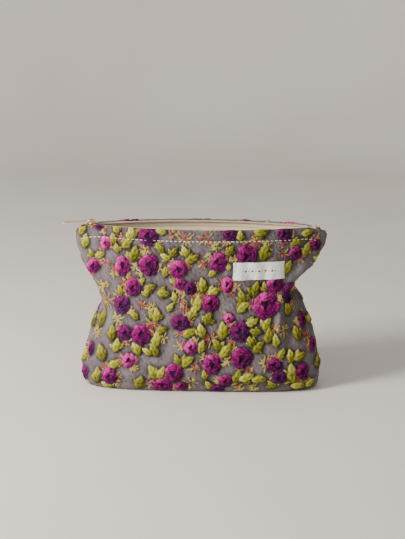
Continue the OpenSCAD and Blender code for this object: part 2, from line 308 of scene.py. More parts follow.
# Sprigs: x, z, radius, tone (0 coral, 0.5 cream, 1 pink).
SPRIGS = [
    (-74, 147, 8, 0.1), (-92, 122, 6, 0.9), (-84, 112, 6, 0.5), (-62, 120, 5, 0.5),
    (-54, 137, 8, 0.3), (-25, 153, 7, 0.2), (-14, 148, 9, 0.8), (6, 149, 9, 0.1),
    (2, 125, 5, 0.1), (32, 130, 5, 0.5), (54, 147, 8, 0.0), (63, 141, 6, 0.5),
    (80, 133, 6, 0.9), (34, 104, 5, 0.4), (28, 99, 6, 0.9), (-18, 91, 8, 0.9),
    (-55, 85, 6, 0.1), (-46, 83, 6, 0.5), (-45, 67, 8, 0.1), (-62, 25, 5, 0.4),
    (-34, 54, 6, 0.5), (11, 54, 9, 0.05), (-18, 47, 7, 0.9), (-4, 27, 7, 0.1),
    (-8, 11, 9, 0.5), (26, 32, 6, 0.5), (63, 30, 8, 0.5), (70, 64, 8, 0.1),
    (38, 5, 6, 0.3), (52, 6, 6, 0.5), (92, 84, 6, 0.6), (-106, 56, 8, 0.5),
    (-92, 86, 8, 0.3), (-96, 100, 7, 0.5), (14, 142, 6, 0.6), (70, 121, 7, 0.5),
    (108, 54, 8, 0.1), (112, 118, 7, 0.6), (-118, 104, 7, 0.1), (-80, 70, 7, 0.5),
    (82, 62, 7, 0.5), (-14, 83, 6, 0.1), (48, 24, 5, 0.1), (104, 100, 6, 0.8),
]
# The back is cut from the same cloth, further along its repeat.
BACK_SHIFT = (61.0, 47.0)
REPEAT = (252.0, 158.0)


class Relief:
    """Woven motifs as height and masks over a wall's own u and v."""

    def __init__(self, u, v):
        self.u, self.v = u.ravel(), v.ravel()
        self.fields = {k: np.zeros(self.u.size) for k in
                       ("lift", "rose", "leaf", "sprig", "tone", "shade")}

    def window(self, x, z, reach):
        near = (np.abs(self.u - x) < reach) & (np.abs(self.v - z) < reach)
        return np.nonzero(near)[0]

    def paint(self, at, cover, kind, lift, tone, shade):
        """Lay one shape over what is there. cover runs from 0 outside to 1 inside."""
        goals = {key: float(key == kind) for key in ("rose", "leaf", "sprig")}
        goals.update(lift=lift, tone=tone, shade=shade)
        for key, goal in goals.items():
            self.fields[key][at] += (goal - self.fields[key][at]) * cover


# Rings of petals from the outside in: count, distance out and size over the rose's radius,
# and height in millimetres.
PETAL_RINGS = [(7, 0.60, 0.40, 0.5), (5, 0.38, 0.36, 0.95), (3, 0.22, 0.26, 1.35)]
LEAF_LENGTH = 1.18       # drawn length over the listed one, since its tips fade out
LEAF_HALF = 0.30         # half width over length


def add_petal(relief, at, dx, dz, centre, radius, outward, lift, tone, dice):
    """One rounded petal, with painted shade at its root and along a thin dark edge."""
    px, pz = (dx - centre[0]) / radius, (dz - centre[1]) / radius
    along = px * outward[0] + pz * outward[1]
    across = -px * outward[1] + pz * outward[0]
    angle = np.arctan2(across, along)
    wobble = 1 + 0.08 * np.cos(3 * angle + dice) + 0.05 * np.cos(5 * angle + 2 * dice)
    d = np.hypot(along * 1.1, across * 0.9) / wobble
    cover = 1 - smooth(0.88, 1.06, d)
    cup = lift + 0.8 * np.sqrt(np.clip(1 - (d * 0.92) ** 2, 0, 1)) + 0.2 * along
    vein = 0.10 * np.cos(11 * across + 3 * along + dice)
    # painted light and shade: darker at the root, under the petals above, and lighter towards
    # the upper left, where the light falls from; the threads at the lower right are darker
    # too
    side = 0.5 * (pz - px)
    shade = 0.50 + 0.22 * smooth(-0.7, 0.5, along) + 0.2 * side + vein
    # painted shade: a thin dark band along the petal's edge
    shade = shade - 0.42 * smooth(0.72, 1.0, d)
    relief.paint(at, cover, "rose", cup, tone, shade)


def add_rose(relief, x, z, radius, tone, stretch, dice):
    """Three rings of petals round a dark eye."""
    at = relief.window(x, z, radius * 1.7 * max(1.0, stretch))
    if at.size == 0:
        return
    dx = relief.u[at] - x
    dz = (relief.v[at] - z) / stretch
    turn = dice.uniform(0, 6.28)
    # painted shade, partly the weave's own darker threads: each rose's tone darkens towards
    # its lower right, away from the light
    shaded = tone + 0.55 * (dx - dz) / (1.4 * radius)
    around = np.arctan2(dz, dx)
    edge = 1 + 0.05 * np.cos(5 * around + turn) + 0.04 * np.cos(8 * around + 3 * turn)
    disc = np.hypot(dx, dz) / (0.9 * radius * edge)
    # a dark disc under the petals paints shade into the gaps between them
    relief.paint(at, 1 - smooth(0.92, 1.06, disc), "rose", 0.5, shaded + 0.3, 0.16)
    for count, out, size, lift in PETAL_RINGS:
        for k in dice.permutation(count):
            a = turn + 6.283 * (k + dice.uniform(-0.16, 0.16)) / count
            outward = (math.cos(a), math.sin(a))
            centre = (outward[0] * out * radius, outward[1] * out * radius)
            grow = size * radius * dice.uniform(0.86, 1.16)
            add_petal(relief, at, dx, dz, centre, grow, outward, lift,
                      shaded + dice.uniform(-0.15, 0.15), dice.uniform(0, 6))
        turn += 0.6
    # the dark eye, a little off the middle, with one curled thread in it
    ex, ez = dice.uniform(-0.1, 0.1, 2) * radius
    bearing = np.arctan2(dz - ez, dx - ex)
    r = np.hypot(dx - ex, (dz - ez) * 0.8) / radius / (1 + 0.3 * np.cos(3 * bearing + turn))
    spiral = np.cos(bearing - 14 * r + turn)
    cover = 1 - smooth(0.12, 0.30, r)
    relief.paint(at, cover, "rose", 0.9 + 0.45 * spiral, shaded + 0.5,
                 0.10 + 0.42 * smooth(0.1, 1, spiral))


def add_leaf(relief, x, z, length, degrees, dice):
    """A puffed leaf with lobed edges."""
    length = length * LEAF_LENGTH
    at = relief.window(x, z, length * 0.62)
    if at.size == 0:
        return
    a = math.radians(degrees + dice.uniform(-8, 8))
    dx, dz = relief.u[at] - x, relief.v[at] - z
    along = (dx * math.cos(a) + dz * math.sin(a)) / (0.5 * length)
    across = -dx * math.sin(a) + dz * math.cos(a)
    across -= dice.uniform(-0.9, 0.9) * along ** 2
    lobes = dice.uniform(5, 8)
    half = LEAF_HALF * length * np.clip(1 - np.abs(along) ** 2.1, 0, 1) ** 0.8
    half = half * (1 - 0.28 * along)
    lobed = np.cos(lobes * along + 1.5 * np.sign(across) + dice.uniform(0, 6))
    notched = np.cos(17 * along + dice.uniform(0, 6))
    half = half * (1 + 0.13 * lobed + 0.05 * notched) + 1e-6
    side = across / half
    cover = (1 - smooth(0.84, 1.06, np.abs(side))) * (np.abs(along) < 1)
    rib = np.exp(-(across / 0.45) ** 2) * smooth(-1.0, -0.6, along)
    veins = np.cos(9 * (along - 0.6 * np.abs(side)))
    lift = 0.3 + 1.25 * np.sqrt(np.clip(1 - (0.9 * side) ** 2, 0, 1)) - 0.3 * rib
    lift += 0.08 * veins
    # painted light and shade: the leaf is lighter towards the upper left, darker towards the
    # lower right, in the midrib's groove and at its edges
    shade_to_lower_right = (dx * 0.7 - dz * 0.7) / (0.4 * length)
    shade = dice.uniform(0.5, 0.82) - 0.36 * shade_to_lower_right - 0.22 * rib + 0.08 * veins
    shade -= 0.5 * smooth(0.6, 1.0, np.abs(side))
    relief.paint(at, cover, "leaf", lift, dice.uniform(0, 1), shade)


def add_hook(relief, at, dx, dz, angle, reach, bend, width, hue, lit):
    """One raised satin stitch, straight or hooked."""
    along = (dx * math.cos(angle) + dz * math.sin(angle)) / reach
    across = -dx * math.sin(angle) + dz * math.cos(angle) - bend * along ** 2
    inside = smooth(0.12, 0.22, along) * (1 - smooth(0.9, 1.0, along))
    thick = width * (0.55 + 0.5 * along)
    side = np.abs(across) / thick
    cover = (1 - smooth(0.75, 1.15, side)) * inside
    lift = 0.25 + 0.55 * np.sqrt(np.clip(1 - (0.85 * side) ** 2, 0, 1))
    # painted shade: the stitch darkens towards its sides
    relief.paint(at, cover, "sprig", lift, hue, lit - 0.35 * smooth(0.5, 1.0, side))


def add_sprig(relief, x, z, radius, tone, dice):
    """A fern-like tuft of hooked stitches with small buds."""
    at = relief.window(x, z, radius * 1.3)
    if at.size == 0:
        return
    dx, dz = relief.u[at] - x, relief.v[at] - z
    start = dice.uniform(0, 6.28)
    count = 9 + int(dice.integers(0, 5))
    for k in range(count):
        a = start + 6.283 * k / count + dice.uniform(-0.3, 0.3)
        reach = radius * dice.uniform(0.6, 1.2)
        hue = 0.5 if dice.uniform() < 0.66 else tone + dice.uniform(-0.12, 0.12)
        add_hook(relief, at, dx, dz, a, reach, dice.uniform(-2.2, 2.2), 0.78, hue,
                 dice.uniform(0.6, 0.95))
    for k in range(5):
        a, far = dice.uniform(0, 6.28), radius * dice.uniform(0.15, 0.75)
        size = dice.uniform(1.0, 1.7)
        bud = np.hypot(dx - far * math.cos(a), dz - far * math.sin(a)) / size
        cover = 1 - smooth(0.75, 1.1, bud)
        cap = 0.35 + 0.6 * np.sqrt(np.clip(1 - (0.9 * bud) ** 2, 0, 1))
        # painted shade: each bud darkens towards its rim
        relief.paint(at, cover, "sprig", cap, tone + dice.uniform(-0.15, 0.2),
                     dice.uniform(0.6, 1.0) - 0.3 * smooth(0.6, 1.0, bud))


def weave_relief(u, v, side):
    """All motifs on one wall."""
    relief = Relief(u, v)
    dice = np.random.default_rng(21)

    def places(rows):
        for x, z, *rest in rows:
            if side > 0:
                x = (x + BACK_SHIFT[0] + REPEAT[0] / 2) % REPEAT[0] - REPEAT[0] / 2
                z = (z + BACK_SHIFT[1]) % REPEAT[1]
            yield (x, z, *rest)

    for row in places(SPRIGS):
        add_sprig(relief, *row, dice)
    # small tufts peep out round the roses
    for x, z, radius, *_ in places(ROSES):
        for _ in range(3):
            a = dice.uniform(0, 6.28)
            far = radius * dice.uniform(0.9, 1.2)
            add_sprig(relief, x + far * math.cos(a), z + far * math.sin(a),
                      dice.uniform(3.5, 5.5), dice.choice([0.5, 0.1, 0.9]), dice)
    for x, z, length, degrees in places(LEAVES):
        # most leaves grow in twos and threes from one stalk
        a = math.radians(degrees)
        for turn in (dice.uniform(38, 62), -dice.uniform(38, 62)):
            if dice.uniform() < 0.5:
                size = length * dice.uniform(0.55, 0.75)
                b = math.radians(degrees + turn)
                px = x - 0.34 * length * math.cos(a) + 0.45 * size * math.cos(b)
                pz = z - 0.34 * length * math.sin(a) + 0.45 * size * math.sin(b)
                add_leaf(relief, px, pz, size, degrees + turn, dice)
        add_leaf(relief, x, z, length, degrees, dice)
    for row in places(ROSES):
        add_rose(relief, *row, dice)
    return relief.fields


def ripple(u, v, seed, sizes=((23, 0.30), (11, 0.16), (5.2, 0.08), (2.6, 0.05))):
    """Gentle puckers of padded cloth, in millimetres."""
    dice = np.random.default_rng(seed)
    total = np.zeros(np.shape(u))
    for size, amount in sizes:
        for _ in range(5):
            a = dice.uniform(0, 6.283)
            k = 6.283 / (size * dice.uniform(0.8, 1.25))
            total += amount * 0.45 * np.cos(
                k * (u * math.cos(a) + v * math.sin(a)) + dice.uniform(0, 6.283))
    return total


# ---------------------------------------------------------------- materials
def srgb(r, g, b):
    """Linear colour from display values 0 to 255."""
    return tuple((c / 255 / 12.92) if c <= 10.3 else ((c / 255 + 0.055) / 1.055) ** 2.4
                 for c in (r, g, b))


class Value:
    """An output socket. Arithmetic on it makes math nodes."""

    def __init__(self, nodes, socket):
        self.nodes, self.socket = nodes, socket

    def __add__(self, other):
        return self.nodes.math("ADD", self, other)

    def __sub__(self, other):
        return self.nodes.math("SUBTRACT", self, other)

    def __rsub__(self, other):
        return self.nodes.math("SUBTRACT", other, self)

    def __mul__(self, other):
        return self.nodes.math("MULTIPLY", self, other)


class Nodes:
    """Short way to build a material. Colours are display values 0 to 255."""

    def __init__(self, name):
        self.mat = bpy.data.materials.new(name)
        self.mat.use_nodes = True
        self.tree = self.mat.node_tree

    def feed(self, socket, item):
        if isinstance(item, Value):
            self.tree.links.new(item.socket, socket)
        elif isinstance(item, tuple) and socket.type == "RGBA":
            socket.default_value = (*srgb(*item), 1)
        else:
            socket.default_value = item

    def node(self, kind, inputs, out=0, **settings):
        node = self.tree.nodes.new(kind)
        for key, value in settings.items():
            setattr(node, key, value)
        for key, item in inputs.items():
            self.feed(node.inputs[key], item)
        return Value(self, node.outputs[out])

    def field(self, name, out="Fac"):
        """One of the mesh's attributes."""
        return self.node("ShaderNodeAttribute", {}, out, attribute_name=name)

    def place(self):
        return self.node("ShaderNodeTexCoord", {}, "Object")

    def math(self, operation, a, b):
        return self.node("ShaderNodeMath", {0: a, 1: b}, operation=operation)

    def clamped(self, value):
        """Keep the result of a sum or product from 0 to 1."""
        value.socket.node.use_clamp = True
        return value

    def mix(self, factor, a, b, blend="MIX"):
        return self.node("ShaderNodeMix", {0: factor, 6: a, 7: b}, 2, data_type="RGBA",
                         blend_type=blend)

    def ramp(self, factor, *stops):
        """Stops are (place, red, green, blue)."""
        value = self.node("ShaderNodeValToRGB", {0: factor})
        elements = value.socket.node.color_ramp.elements
        elements[0].position, elements[1].position = stops[0][0], stops[-1][0]
        for stop in stops[1:-1]:
            elements.new(stop[0])
        for element, stop in zip(elements, stops):
            element.color = (*srgb(*stop[1:]), 1)
        return value

    def noise(self, scale, detail, vector):
        return self.node("ShaderNodeTexNoise",
                         {"Scale": scale, "Detail": detail, "Vector": vector}, "Fac")

    def stretched(self, vector, scale, turn=0.0):
        return self.node("ShaderNodeMapping",
                         {"Vector": vector, "Scale": scale, "Rotation": (0, 0, turn)})

    def bands(self, vector, pitch, direction="X", distortion=0.0):
        """Stripes of the given pitch, in the vector's own unit."""
        inputs = {"Scale": WAVE_UNIT / pitch, "Distortion": distortion, "Detail": 0,
                  "Vector": vector}
        return self.node("ShaderNodeTexWave", inputs, "Fac", wave_type="BANDS",
                         bands_direction=direction)

    def bump(self, height, strength, distance):
        return self.node("ShaderNodeBump",
                         {"Strength": strength, "Distance": distance, "Height": height})

    def finish(self, colour, roughness, normal=None, **constants):
        inputs = self.tree.nodes["Principled BSDF"].inputs
        self.feed(inputs["Base Color"], colour)
        self.feed(inputs["Roughness"], roughness)
        if normal is not None:
            self.feed(inputs["Normal"], normal)
        for key, value in constants.items():
            inputs[key.replace("_", " ")].default_value = value
        return self.mat


# One wave period in the wave texture is 2 pi / 20 over its scale.
WAVE_UNIT = 0.314


def yarn_weave(n, cloth, pitch):
    """Plain weave of the given yarn pitch in millimetres, as a height from 0 to 1."""
    return n.math("MAXIMUM", n.bands(cloth, pitch, "X"), n.bands(cloth, pitch, "Y"))


def jacquard_material():
    """Grey ground with woven roses, leaves and sprigs, coloured by the relief's masks."""
    n = Nodes("jacquard")
    cloth = n.field("cloth", "Vector")
    rose, leaf, sprig = n.field("rose"), n.field("leaf"), n.field("sprig")
    tone, shade = n.field("tone"), n.field("shade")

    yarn = n.noise(1.0, 2, n.stretched(cloth, (0.35, 3.2, 1.0)))
    ground = n.ramp(n.noise(0.05, 3, cloth), (0.3, 84, 75, 81), (0.5, 102, 93, 98),
                    (0.72, 122, 115, 118))
    ground = n.mix(yarn * 0.38, ground, (142, 137, 139))

    fine = n.noise(1.0, 2, n.stretched(cloth, (3.0, 0.5, 1.0), 0.6))
    lit = shade + (fine - 0.5) * 0.5
    bright = n.ramp(lit, (0.05, 16, 1, 24), (0.32, 56, 2, 50), (0.64, 108, 4, 80),
                    (0.98, 168, 26, 130))
    dark = n.ramp(lit, (0.1, 14, 4, 20), (0.5, 44, 8, 52), (0.95, 116, 30, 104))
    pink = n.ramp(lit, (0.1, 110, 14, 80), (0.6, 186, 44, 134), (0.95, 216, 104, 176))
    mottle = (n.noise(0.9, 2, cloth) - 0.5) * 1.6
    petals = n.mix(n.clamped((tone - 0.2) * 1.5 + mottle), bright, dark)
    petals = n.mix(n.clamped(tone * -2.2), petals, pink)

    leaves = n.ramp(lit, (0.05, 28, 26, 6), (0.35, 82, 78, 20), (0.68, 146, 143, 44),
                    (1.0, 206, 205, 104))
    leaves = n.mix(n.clamped(tone * 0.3), leaves, (112, 120, 36))
    buds = n.ramp(tone, (0.0, 148, 52, 60), (0.25, 164, 92, 78), (0.48, 170, 168, 70),
                  (0.6, 178, 170, 100), (0.8, 160, 66, 98), (1.0, 150, 34, 104))
    # painted shade: sprigs and buds darken where their shade is low
    buds = n.mix(n.clamped(0.8 - lit), buds, (48, 34, 30))

    # the sprigs' loose threads let the ground show between them
    loose = n.noise(1.6, 2, cloth) * 0.9
    colour = n.mix(n.clamped((sprig + 0.1 - loose) * 2.2), ground, buds)
    colour = n.mix(leaf, colour, leaves)
    colour = n.mix(rose, colour, petals)
    colour = n.mix(n.noise(0.4, 4, cloth) * 0.25, colour, (60, 50, 58), "MULTIPLY")
    # painted shade: the ground darkens in the hollows beside the raised motifs
    colour = n.mix(n.clamped(n.field("pit") * 0.8), colour, (38, 28, 40))

    satin = n.bands(n.stretched(cloth, (1, 1, 1), 0.5), 0.38, "X", 2.5)
    raised = n.clamped(rose + leaf + sprig)
    height = yarn_weave(n, cloth, 0.42) * (1 - raised) + satin * raised
    normal = n.bump(height + n.noise(2.2, 3, cloth) * 0.8, 0.45, 0.00018)
    return n.finish(colour, 0.82 - raised * 0.14, normal, Sheen_Weight=0.03,
                    Sheen_Roughness=0.5, Sheen_Tint=(0.9, 0.88, 0.95, 1),
                    Specular_IOR_Level=0.06)


def lining_material():
    """Plain-woven cream cotton with slubs."""
    n = Nodes("lining")
    cloth = n.field("cloth", "Vector")
    along = n.noise(1.0, 3, n.stretched(cloth, (0.15, 2.4, 1.0)))
    across = n.noise(1.0, 3, n.stretched(cloth, (2.4, 0.15, 1.0)))
    slubs = (along + across) * 0.5
    colour = n.ramp(slubs, (0.35, 198, 178, 142), (0.6, 226, 208, 174))
    normal = n.bump(yarn_weave(n, cloth, 0.5) + slubs, 0.5, 0.0002)
    return n.finish(colour, slubs * 0.1 + 0.8, normal, Sheen_Weight=0.2,
                    Sheen_Roughness=0.5)


def tape_material():
    """Herringbone zip tape."""
    n = Nodes("zip_tape")
    cloth = n.field("cloth", "Vector")
    step = n.math("GREATER_THAN", n.bands(cloth, 2.6, "Y"), 0.5)
    left, right = (n.bands(n.stretched(cloth, (1, 1, 1), slant), 0.55)
                   for slant in (0.7, -0.7))
    height = left * step + right * (1 - step)
    colour = n.ramp(height, (0.0, 188, 170, 140), (0.8, 226, 212, 184))
    return n.finish(colour, height * 0.1 + 0.7, n.bump(height, 0.6, 0.00018),
                    Sheen_Weight=0.2)


def thread_material(name, base, shadow):
    """Twisted sewing thread."""
    n = Nodes(name)
    place = n.place()
    twist = n.bands(n.stretched(place, (1000, 1000, 1000), 0.8), 0.35)
    fuzz = n.noise(1800, 2, place)
    colour = n.ramp((twist + fuzz) * 0.5, (0.2, *shadow), (0.7, *base))
    return n.finish(colour, fuzz * 0.2 + 0.5, n.bump(twist, 0.5, 0.0001),
                    Sheen_Weight=0.15)


def coil_material():
    """Slightly glossy nylon."""
    n = Nodes("zip_coil")
    place = n.place()
    patch = n.noise(400, 2, place)
    colour = n.ramp(patch, (0.3, 218, 206, 182), (0.7, 240, 232, 212))
    normal = n.bump(n.noise(3000, 2, place), 0.15, 0.00005)
    return n.finish(colour, patch * 0.15 + 0.3, normal)


def metal_material(name, base, worn, roughness):
    """Plated metal with fine brushing and slight tarnish."""
    n = Nodes(name)
    place = n.place()
    brushed = n.noise(1.0, 3, n.stretched(place, (300, 6000, 6000)))
    colour = n.ramp(n.noise(240, 4, place), (0.3, *worn), (0.62, *base))
    return n.finish(colour, brushed * 0.18 + roughness, n.bump(brushed, 0.08, 0.00004),
                    Metallic=1.0)


def label_material():
    """Woven satin ribbon with a small row of woven diamonds."""
    n = Nodes("label_satin")
    cloth, mark = n.field("cloth", "Vector"), n.field("mark")
    floats = n.noise(1.0, 2, n.stretched(cloth, (0.5, 5.0, 1.0)))
    colour = n.ramp(floats, (0.35, 214, 216, 216), (0.7, 240, 241, 240))
    colour = n.mix(mark, colour, (44, 44, 50))
    normal = n.bump(n.bands(cloth, 0.4, "Y") + mark * 0.8, 0.4, 0.00014)
    return n.finish(colour, floats * 0.2 + 0.42, normal, Sheen_Weight=0.2,
                    Specular_IOR_Level=0.5)


def wadding_material():
    """White polyester fibre."""
    n = Nodes("wadding")
    fibre = n.noise(900, 5, n.place())
    colour = n.ramp(fibre, (0.3, 206, 204, 198), (0.7, 240, 239, 234))
    return n.finish(colour, fibre * 0.1 + 0.85, n.bump(fibre, 0.8, 0.0006),
                    Sheen_Weight=0.4)


def board_material():
    """Thin grey-white plastic board."""
    n = Nodes("stiffener")
    grain = n.noise(1500, 3, n.place())
    colour = n.ramp(grain, (0.3, 206, 206, 200), (0.7, 222, 222, 216))
    return n.finish(colour, grain * 0.15 + 0.5, n.bump(grain, 0.2, 0.0001))


JACQUARD = jacquard_material()
LINING = lining_material()
TAPE = tape_material()
COIL = coil_material()
CREAM_THREAD = thread_material("cream_thread", (244, 238, 220), (206, 194, 164))
DARK_THREAD = thread_material("seam_thread", (96, 86, 98), (52, 44, 54))
BRASS = metal_material("brass", (214, 186, 136), (178, 146, 98), 0.28)
PALE_GOLD = metal_material("pale_gold", (232, 214, 172), (204, 180, 134), 0.22)
LABEL = label_material()
WADDING = wadding_material()
BOARD = board_material()


# ---------------------------------------------------------------- wall layers
SKIN_COLS, SKIN_ROWS, SKIN_TURN = 389, 222, 9
LAYER_TURN = 5
SEAM_TUCK = 3.0          # how far the cloth's edge turns in at the side seams
SEAM_REACH = 132.0       # width of half a wall, near enough to fade relief at its ends
# the cloth's edge rolls over the rim and runs down inside: depth, height over the rim
SKIN_LIP = [(0.2, 0.5), (0.7, 0.8), (1.3, 0.6), (1.7, 0.0), (2.0, -2.5), (2.4, -6.0)]
LABEL_X, LABEL_Z, LABEL_W, LABEL_H = 55.6, 118.0, 48.8, 16.6
FURROW_W, FURROW_DEEP = 1.1, 0.55
DRAPE_CAP = 3.5          # the most that the simulated slump may move the cloth


def add_lip(points, us, vs, side):
    """Rows past the top of the outer panel, down inside the rim."""
    fractions = np.linspace(-1, 1, SKIN_COLS)
    rows, lip_u, lip_v = [], [], []
    run = vs[-1]
    last = (0.0, 0.0)
    for d, dz in SKIN_LIP:
        x, y, u = wall_row(1.0, d, fractions)
        run = run + math.hypot(d - last[0], dz - last[1])
        last = (d, dz)
        rows.append(np.stack([x, side * y, rim_z(x) + dz], -1))
        lip_u.append(u)
        lip_v.append(run)
    return (np.concatenate([points, np.array(rows)]), np.concatenate([us, lip_u]),
            np.concatenate([vs, lip_v]))


def near_line(x, z, line, width):
    """Bell-shaped weight round a bent line on the wall, fading at both ends."""
    best = np.full(np.shape(x), 1e9)
    total = sum(math.dist(p, q) for p, q in zip(line, line[1:]))
    place = np.zeros(np.shape(x))
    run = 0.0
    for p, q in zip(line, line[1:]):
        length = math.dist(p, q)
        dx, dz = (q[0] - p[0]) / length, (q[1] - p[1]) / length
        along = np.clip((x - p[0]) * dx + (z - p[1]) * dz, 0, length)
        away = np.hypot(x - p[0] - along * dx, z - p[1] - along * dz)
        closer = away < best
        best = np.where(closer, away, best)
        place = np.where(closer, (run + along) / total, place)
        run += length
    ends = smooth(0.0, 0.25, place) * (1 - smooth(0.7, 1.0, place))
    return np.exp(-(best / width) ** 2) * ends


# Folds of the padded wall: line in x and z, width, height (below 0 for a valley)
FOLDS = [
    ([(124, 136), (96, 118), (83, 105), (76, 88), (76, 62), (82, 36)], 3.6, 2.9),
    ([(126, 124), (98, 104), (86, 90), (84, 66), (90, 40)], 4.4, -4.6),
    ([(-126, 132), (-98, 104), (-88, 86), (-84, 60), (-88, 34)], 4.2, 1.3),
    ([(-126, 118), (-100, 92), (-95, 70), (-97, 44)], 4.5, -2.4),
    ([(-70, 140), (-30, 128), (20, 132), (70, 138)], 9.0, -0.9),
    ([(-60, 96), (-20, 90), (30, 98)], 10.0, 0.8),
    ([(-46, 62), (-6, 48), (34, 50)], 9.0, 0.8),
    ([(-70, 24), (0, 30), (60, 20)], 8.0, -0.7),
]


class Drape:
    """Slump of one wall, by cloth simulation of a coarse sheet sewn in at its edges."""
    COLS, ROWS, FRAMES = 97, 53, 22

    def __init__(self, side):
        self.shares = np.linspace(0, 1, self.ROWS)
        points, us, vs = wall_grid(self.COLS, self.shares, 0.0, 0, side)
        self.right, self.left = us[:, 0], -us[:, -1]
        self.amount = self.simulate(points, vs, side)

    def simulate(self, points, vs, side):
        """Let the sheet settle, and return how far it moved along the wall's normal."""
        sheet = mesh_object("drape_sheet", points, grid_faces(self.ROWS, self.COLS, side < 0))
        across = np.abs(np.linspace(-1, 1, self.COLS))[None, :]
        drop = rim_z(points[..., 0]) - points[..., 2]
        held = (drop < STITCH_DROP + 1) | (vs < TURN_R + 3) | (across > 0.975)
        sewn = sheet.vertex_groups.new(name="sewn")
        sewn.add([int(i) for i in np.nonzero(held.ravel())[0]], 1.0, "REPLACE")
        cloth = sheet.modifiers.new("drape", "CLOTH")
        settings = cloth.settings
        settings.quality = 6
        settings.mass = 0.12
        settings.tension_stiffness = settings.compression_stiffness = 14
        settings.shear_stiffness = 4
        settings.bending_stiffness = 0.35
        settings.vertex_group_mass = "sewn"
        settings.shrink_min = -0.03        # the panel is cut a little larger than the wall
        settings.use_pressure = True
        settings.uniform_pressure_force = 0.6
        cloth.collision_settings.use_collision = False
        cloth.point_cache.frame_start, cloth.point_cache.frame_end = 1, self.FRAMES
        scene = bpy.context.scene
        for frame_number in range(1, self.FRAMES + 1):
            scene.frame_set(frame_number)
        shown = sheet.evaluated_get(bpy.context.evaluated_depsgraph_get()).to_mesh()
        moved = np.empty(points.size, np.float32)
        shown.vertices.foreach_get("co", moved)
        shift = moved.reshape(points.shape) / MM - points
        amount = (shift * grid_normals(points, side)).sum(-1)
        scene.frame_set(1)
        bpy.data.objects.remove(sheet, do_unlink=True)
        # wadding evens out the narrowest buckles
        for _ in range(2):
            beside = np.roll(amount, 1, 1) + np.roll(amount, -1, 1)
            amount = np.where(across > 0.95, amount, 0.5 * amount + 0.25 * beside)
        return np.clip(amount, -DRAPE_CAP, DRAPE_CAP)

    def at(self, u, v):
        """The slump at any point of the cloth, from the coarse sheet's."""
        share = np.clip((v - TURN_R) / (BAG_H - TURN_R), 0, 1)
        reach = np.where(u > 0, np.interp(share, self.shares, self.right),
                         np.interp(share, self.shares, self.left))
        col = (1 - np.clip(u / reach, -1, 1)) * 0.5 * (self.COLS - 1)
        row = share * (self.ROWS - 1)
        c = np.clip(col.astype(int), 0, self.COLS - 2)
        r = np.clip(row.astype(int), 0, self.ROWS - 2)
        fc, fr = smooth(0, 1, col - c), smooth(0, 1, row - r)
        a = self.amount
        return ((a[r, c] * (1 - fc) + a[r, c + 1] * fc) * (1 - fr)
                + (a[r + 1, c] * (1 - fc) + a[r + 1, c + 1] * fc) * fr)


DRAPES = {side: Drape(side) for side in (-1, 1)}


def settle(points, u, v, side):
    """How far padded cloth stands in or out of the smooth wall, in millimetres."""
    x, y, z = points[..., 0], np.abs(points[..., 1]), points[..., 2]
    out = ripple(u, v, 3 if side < 0 else 5) + DRAPES[side].at(u, v)
    for line, width, height in FOLDS:
        out = out + height * near_line(x, z, line, width)
    return out * smooth(0.3, 6.0, y)


def shift_along(points, normals, amount):
    """Points moved along their normals, each by its own amount."""
    return points + normals * amount[..., None]


def seam_allowance(grid, side):
    """Add a column at each end that turns the cloth's edge in at the side seam."""
    ends = []
    for column, inward in ((grid[:, 0], -1), (grid[:, -1], 1)):
        tucked = column.copy()
        tucked[:, 0] += inward * SEAM_TUCK
        tucked[:, 1] = side * 0.12
        ends.append(tucked[:, None])
    return np.concatenate([ends[0], grid, ends[1]], axis=1)


def widen(field):
    """Repeat a field's end columns, to match seam_allowance."""
    return np.concatenate([field[:, :1], field, field[:, -1:]], axis=1)


def crevice_shade(lift):
    """Painted shade in the hollows: how deep each point lies below the relief round it, from
    0 to 1.
    """
    spread = lift
    for _ in range(3):
        for axis in (0, 1):
            ahead, behind = np.roll(spread, 2, axis), np.roll(spread, -2, axis)
            spread = (ahead + behind + spread) / 3
    return np.clip((spread - lift) * 1.6, 0, 1)


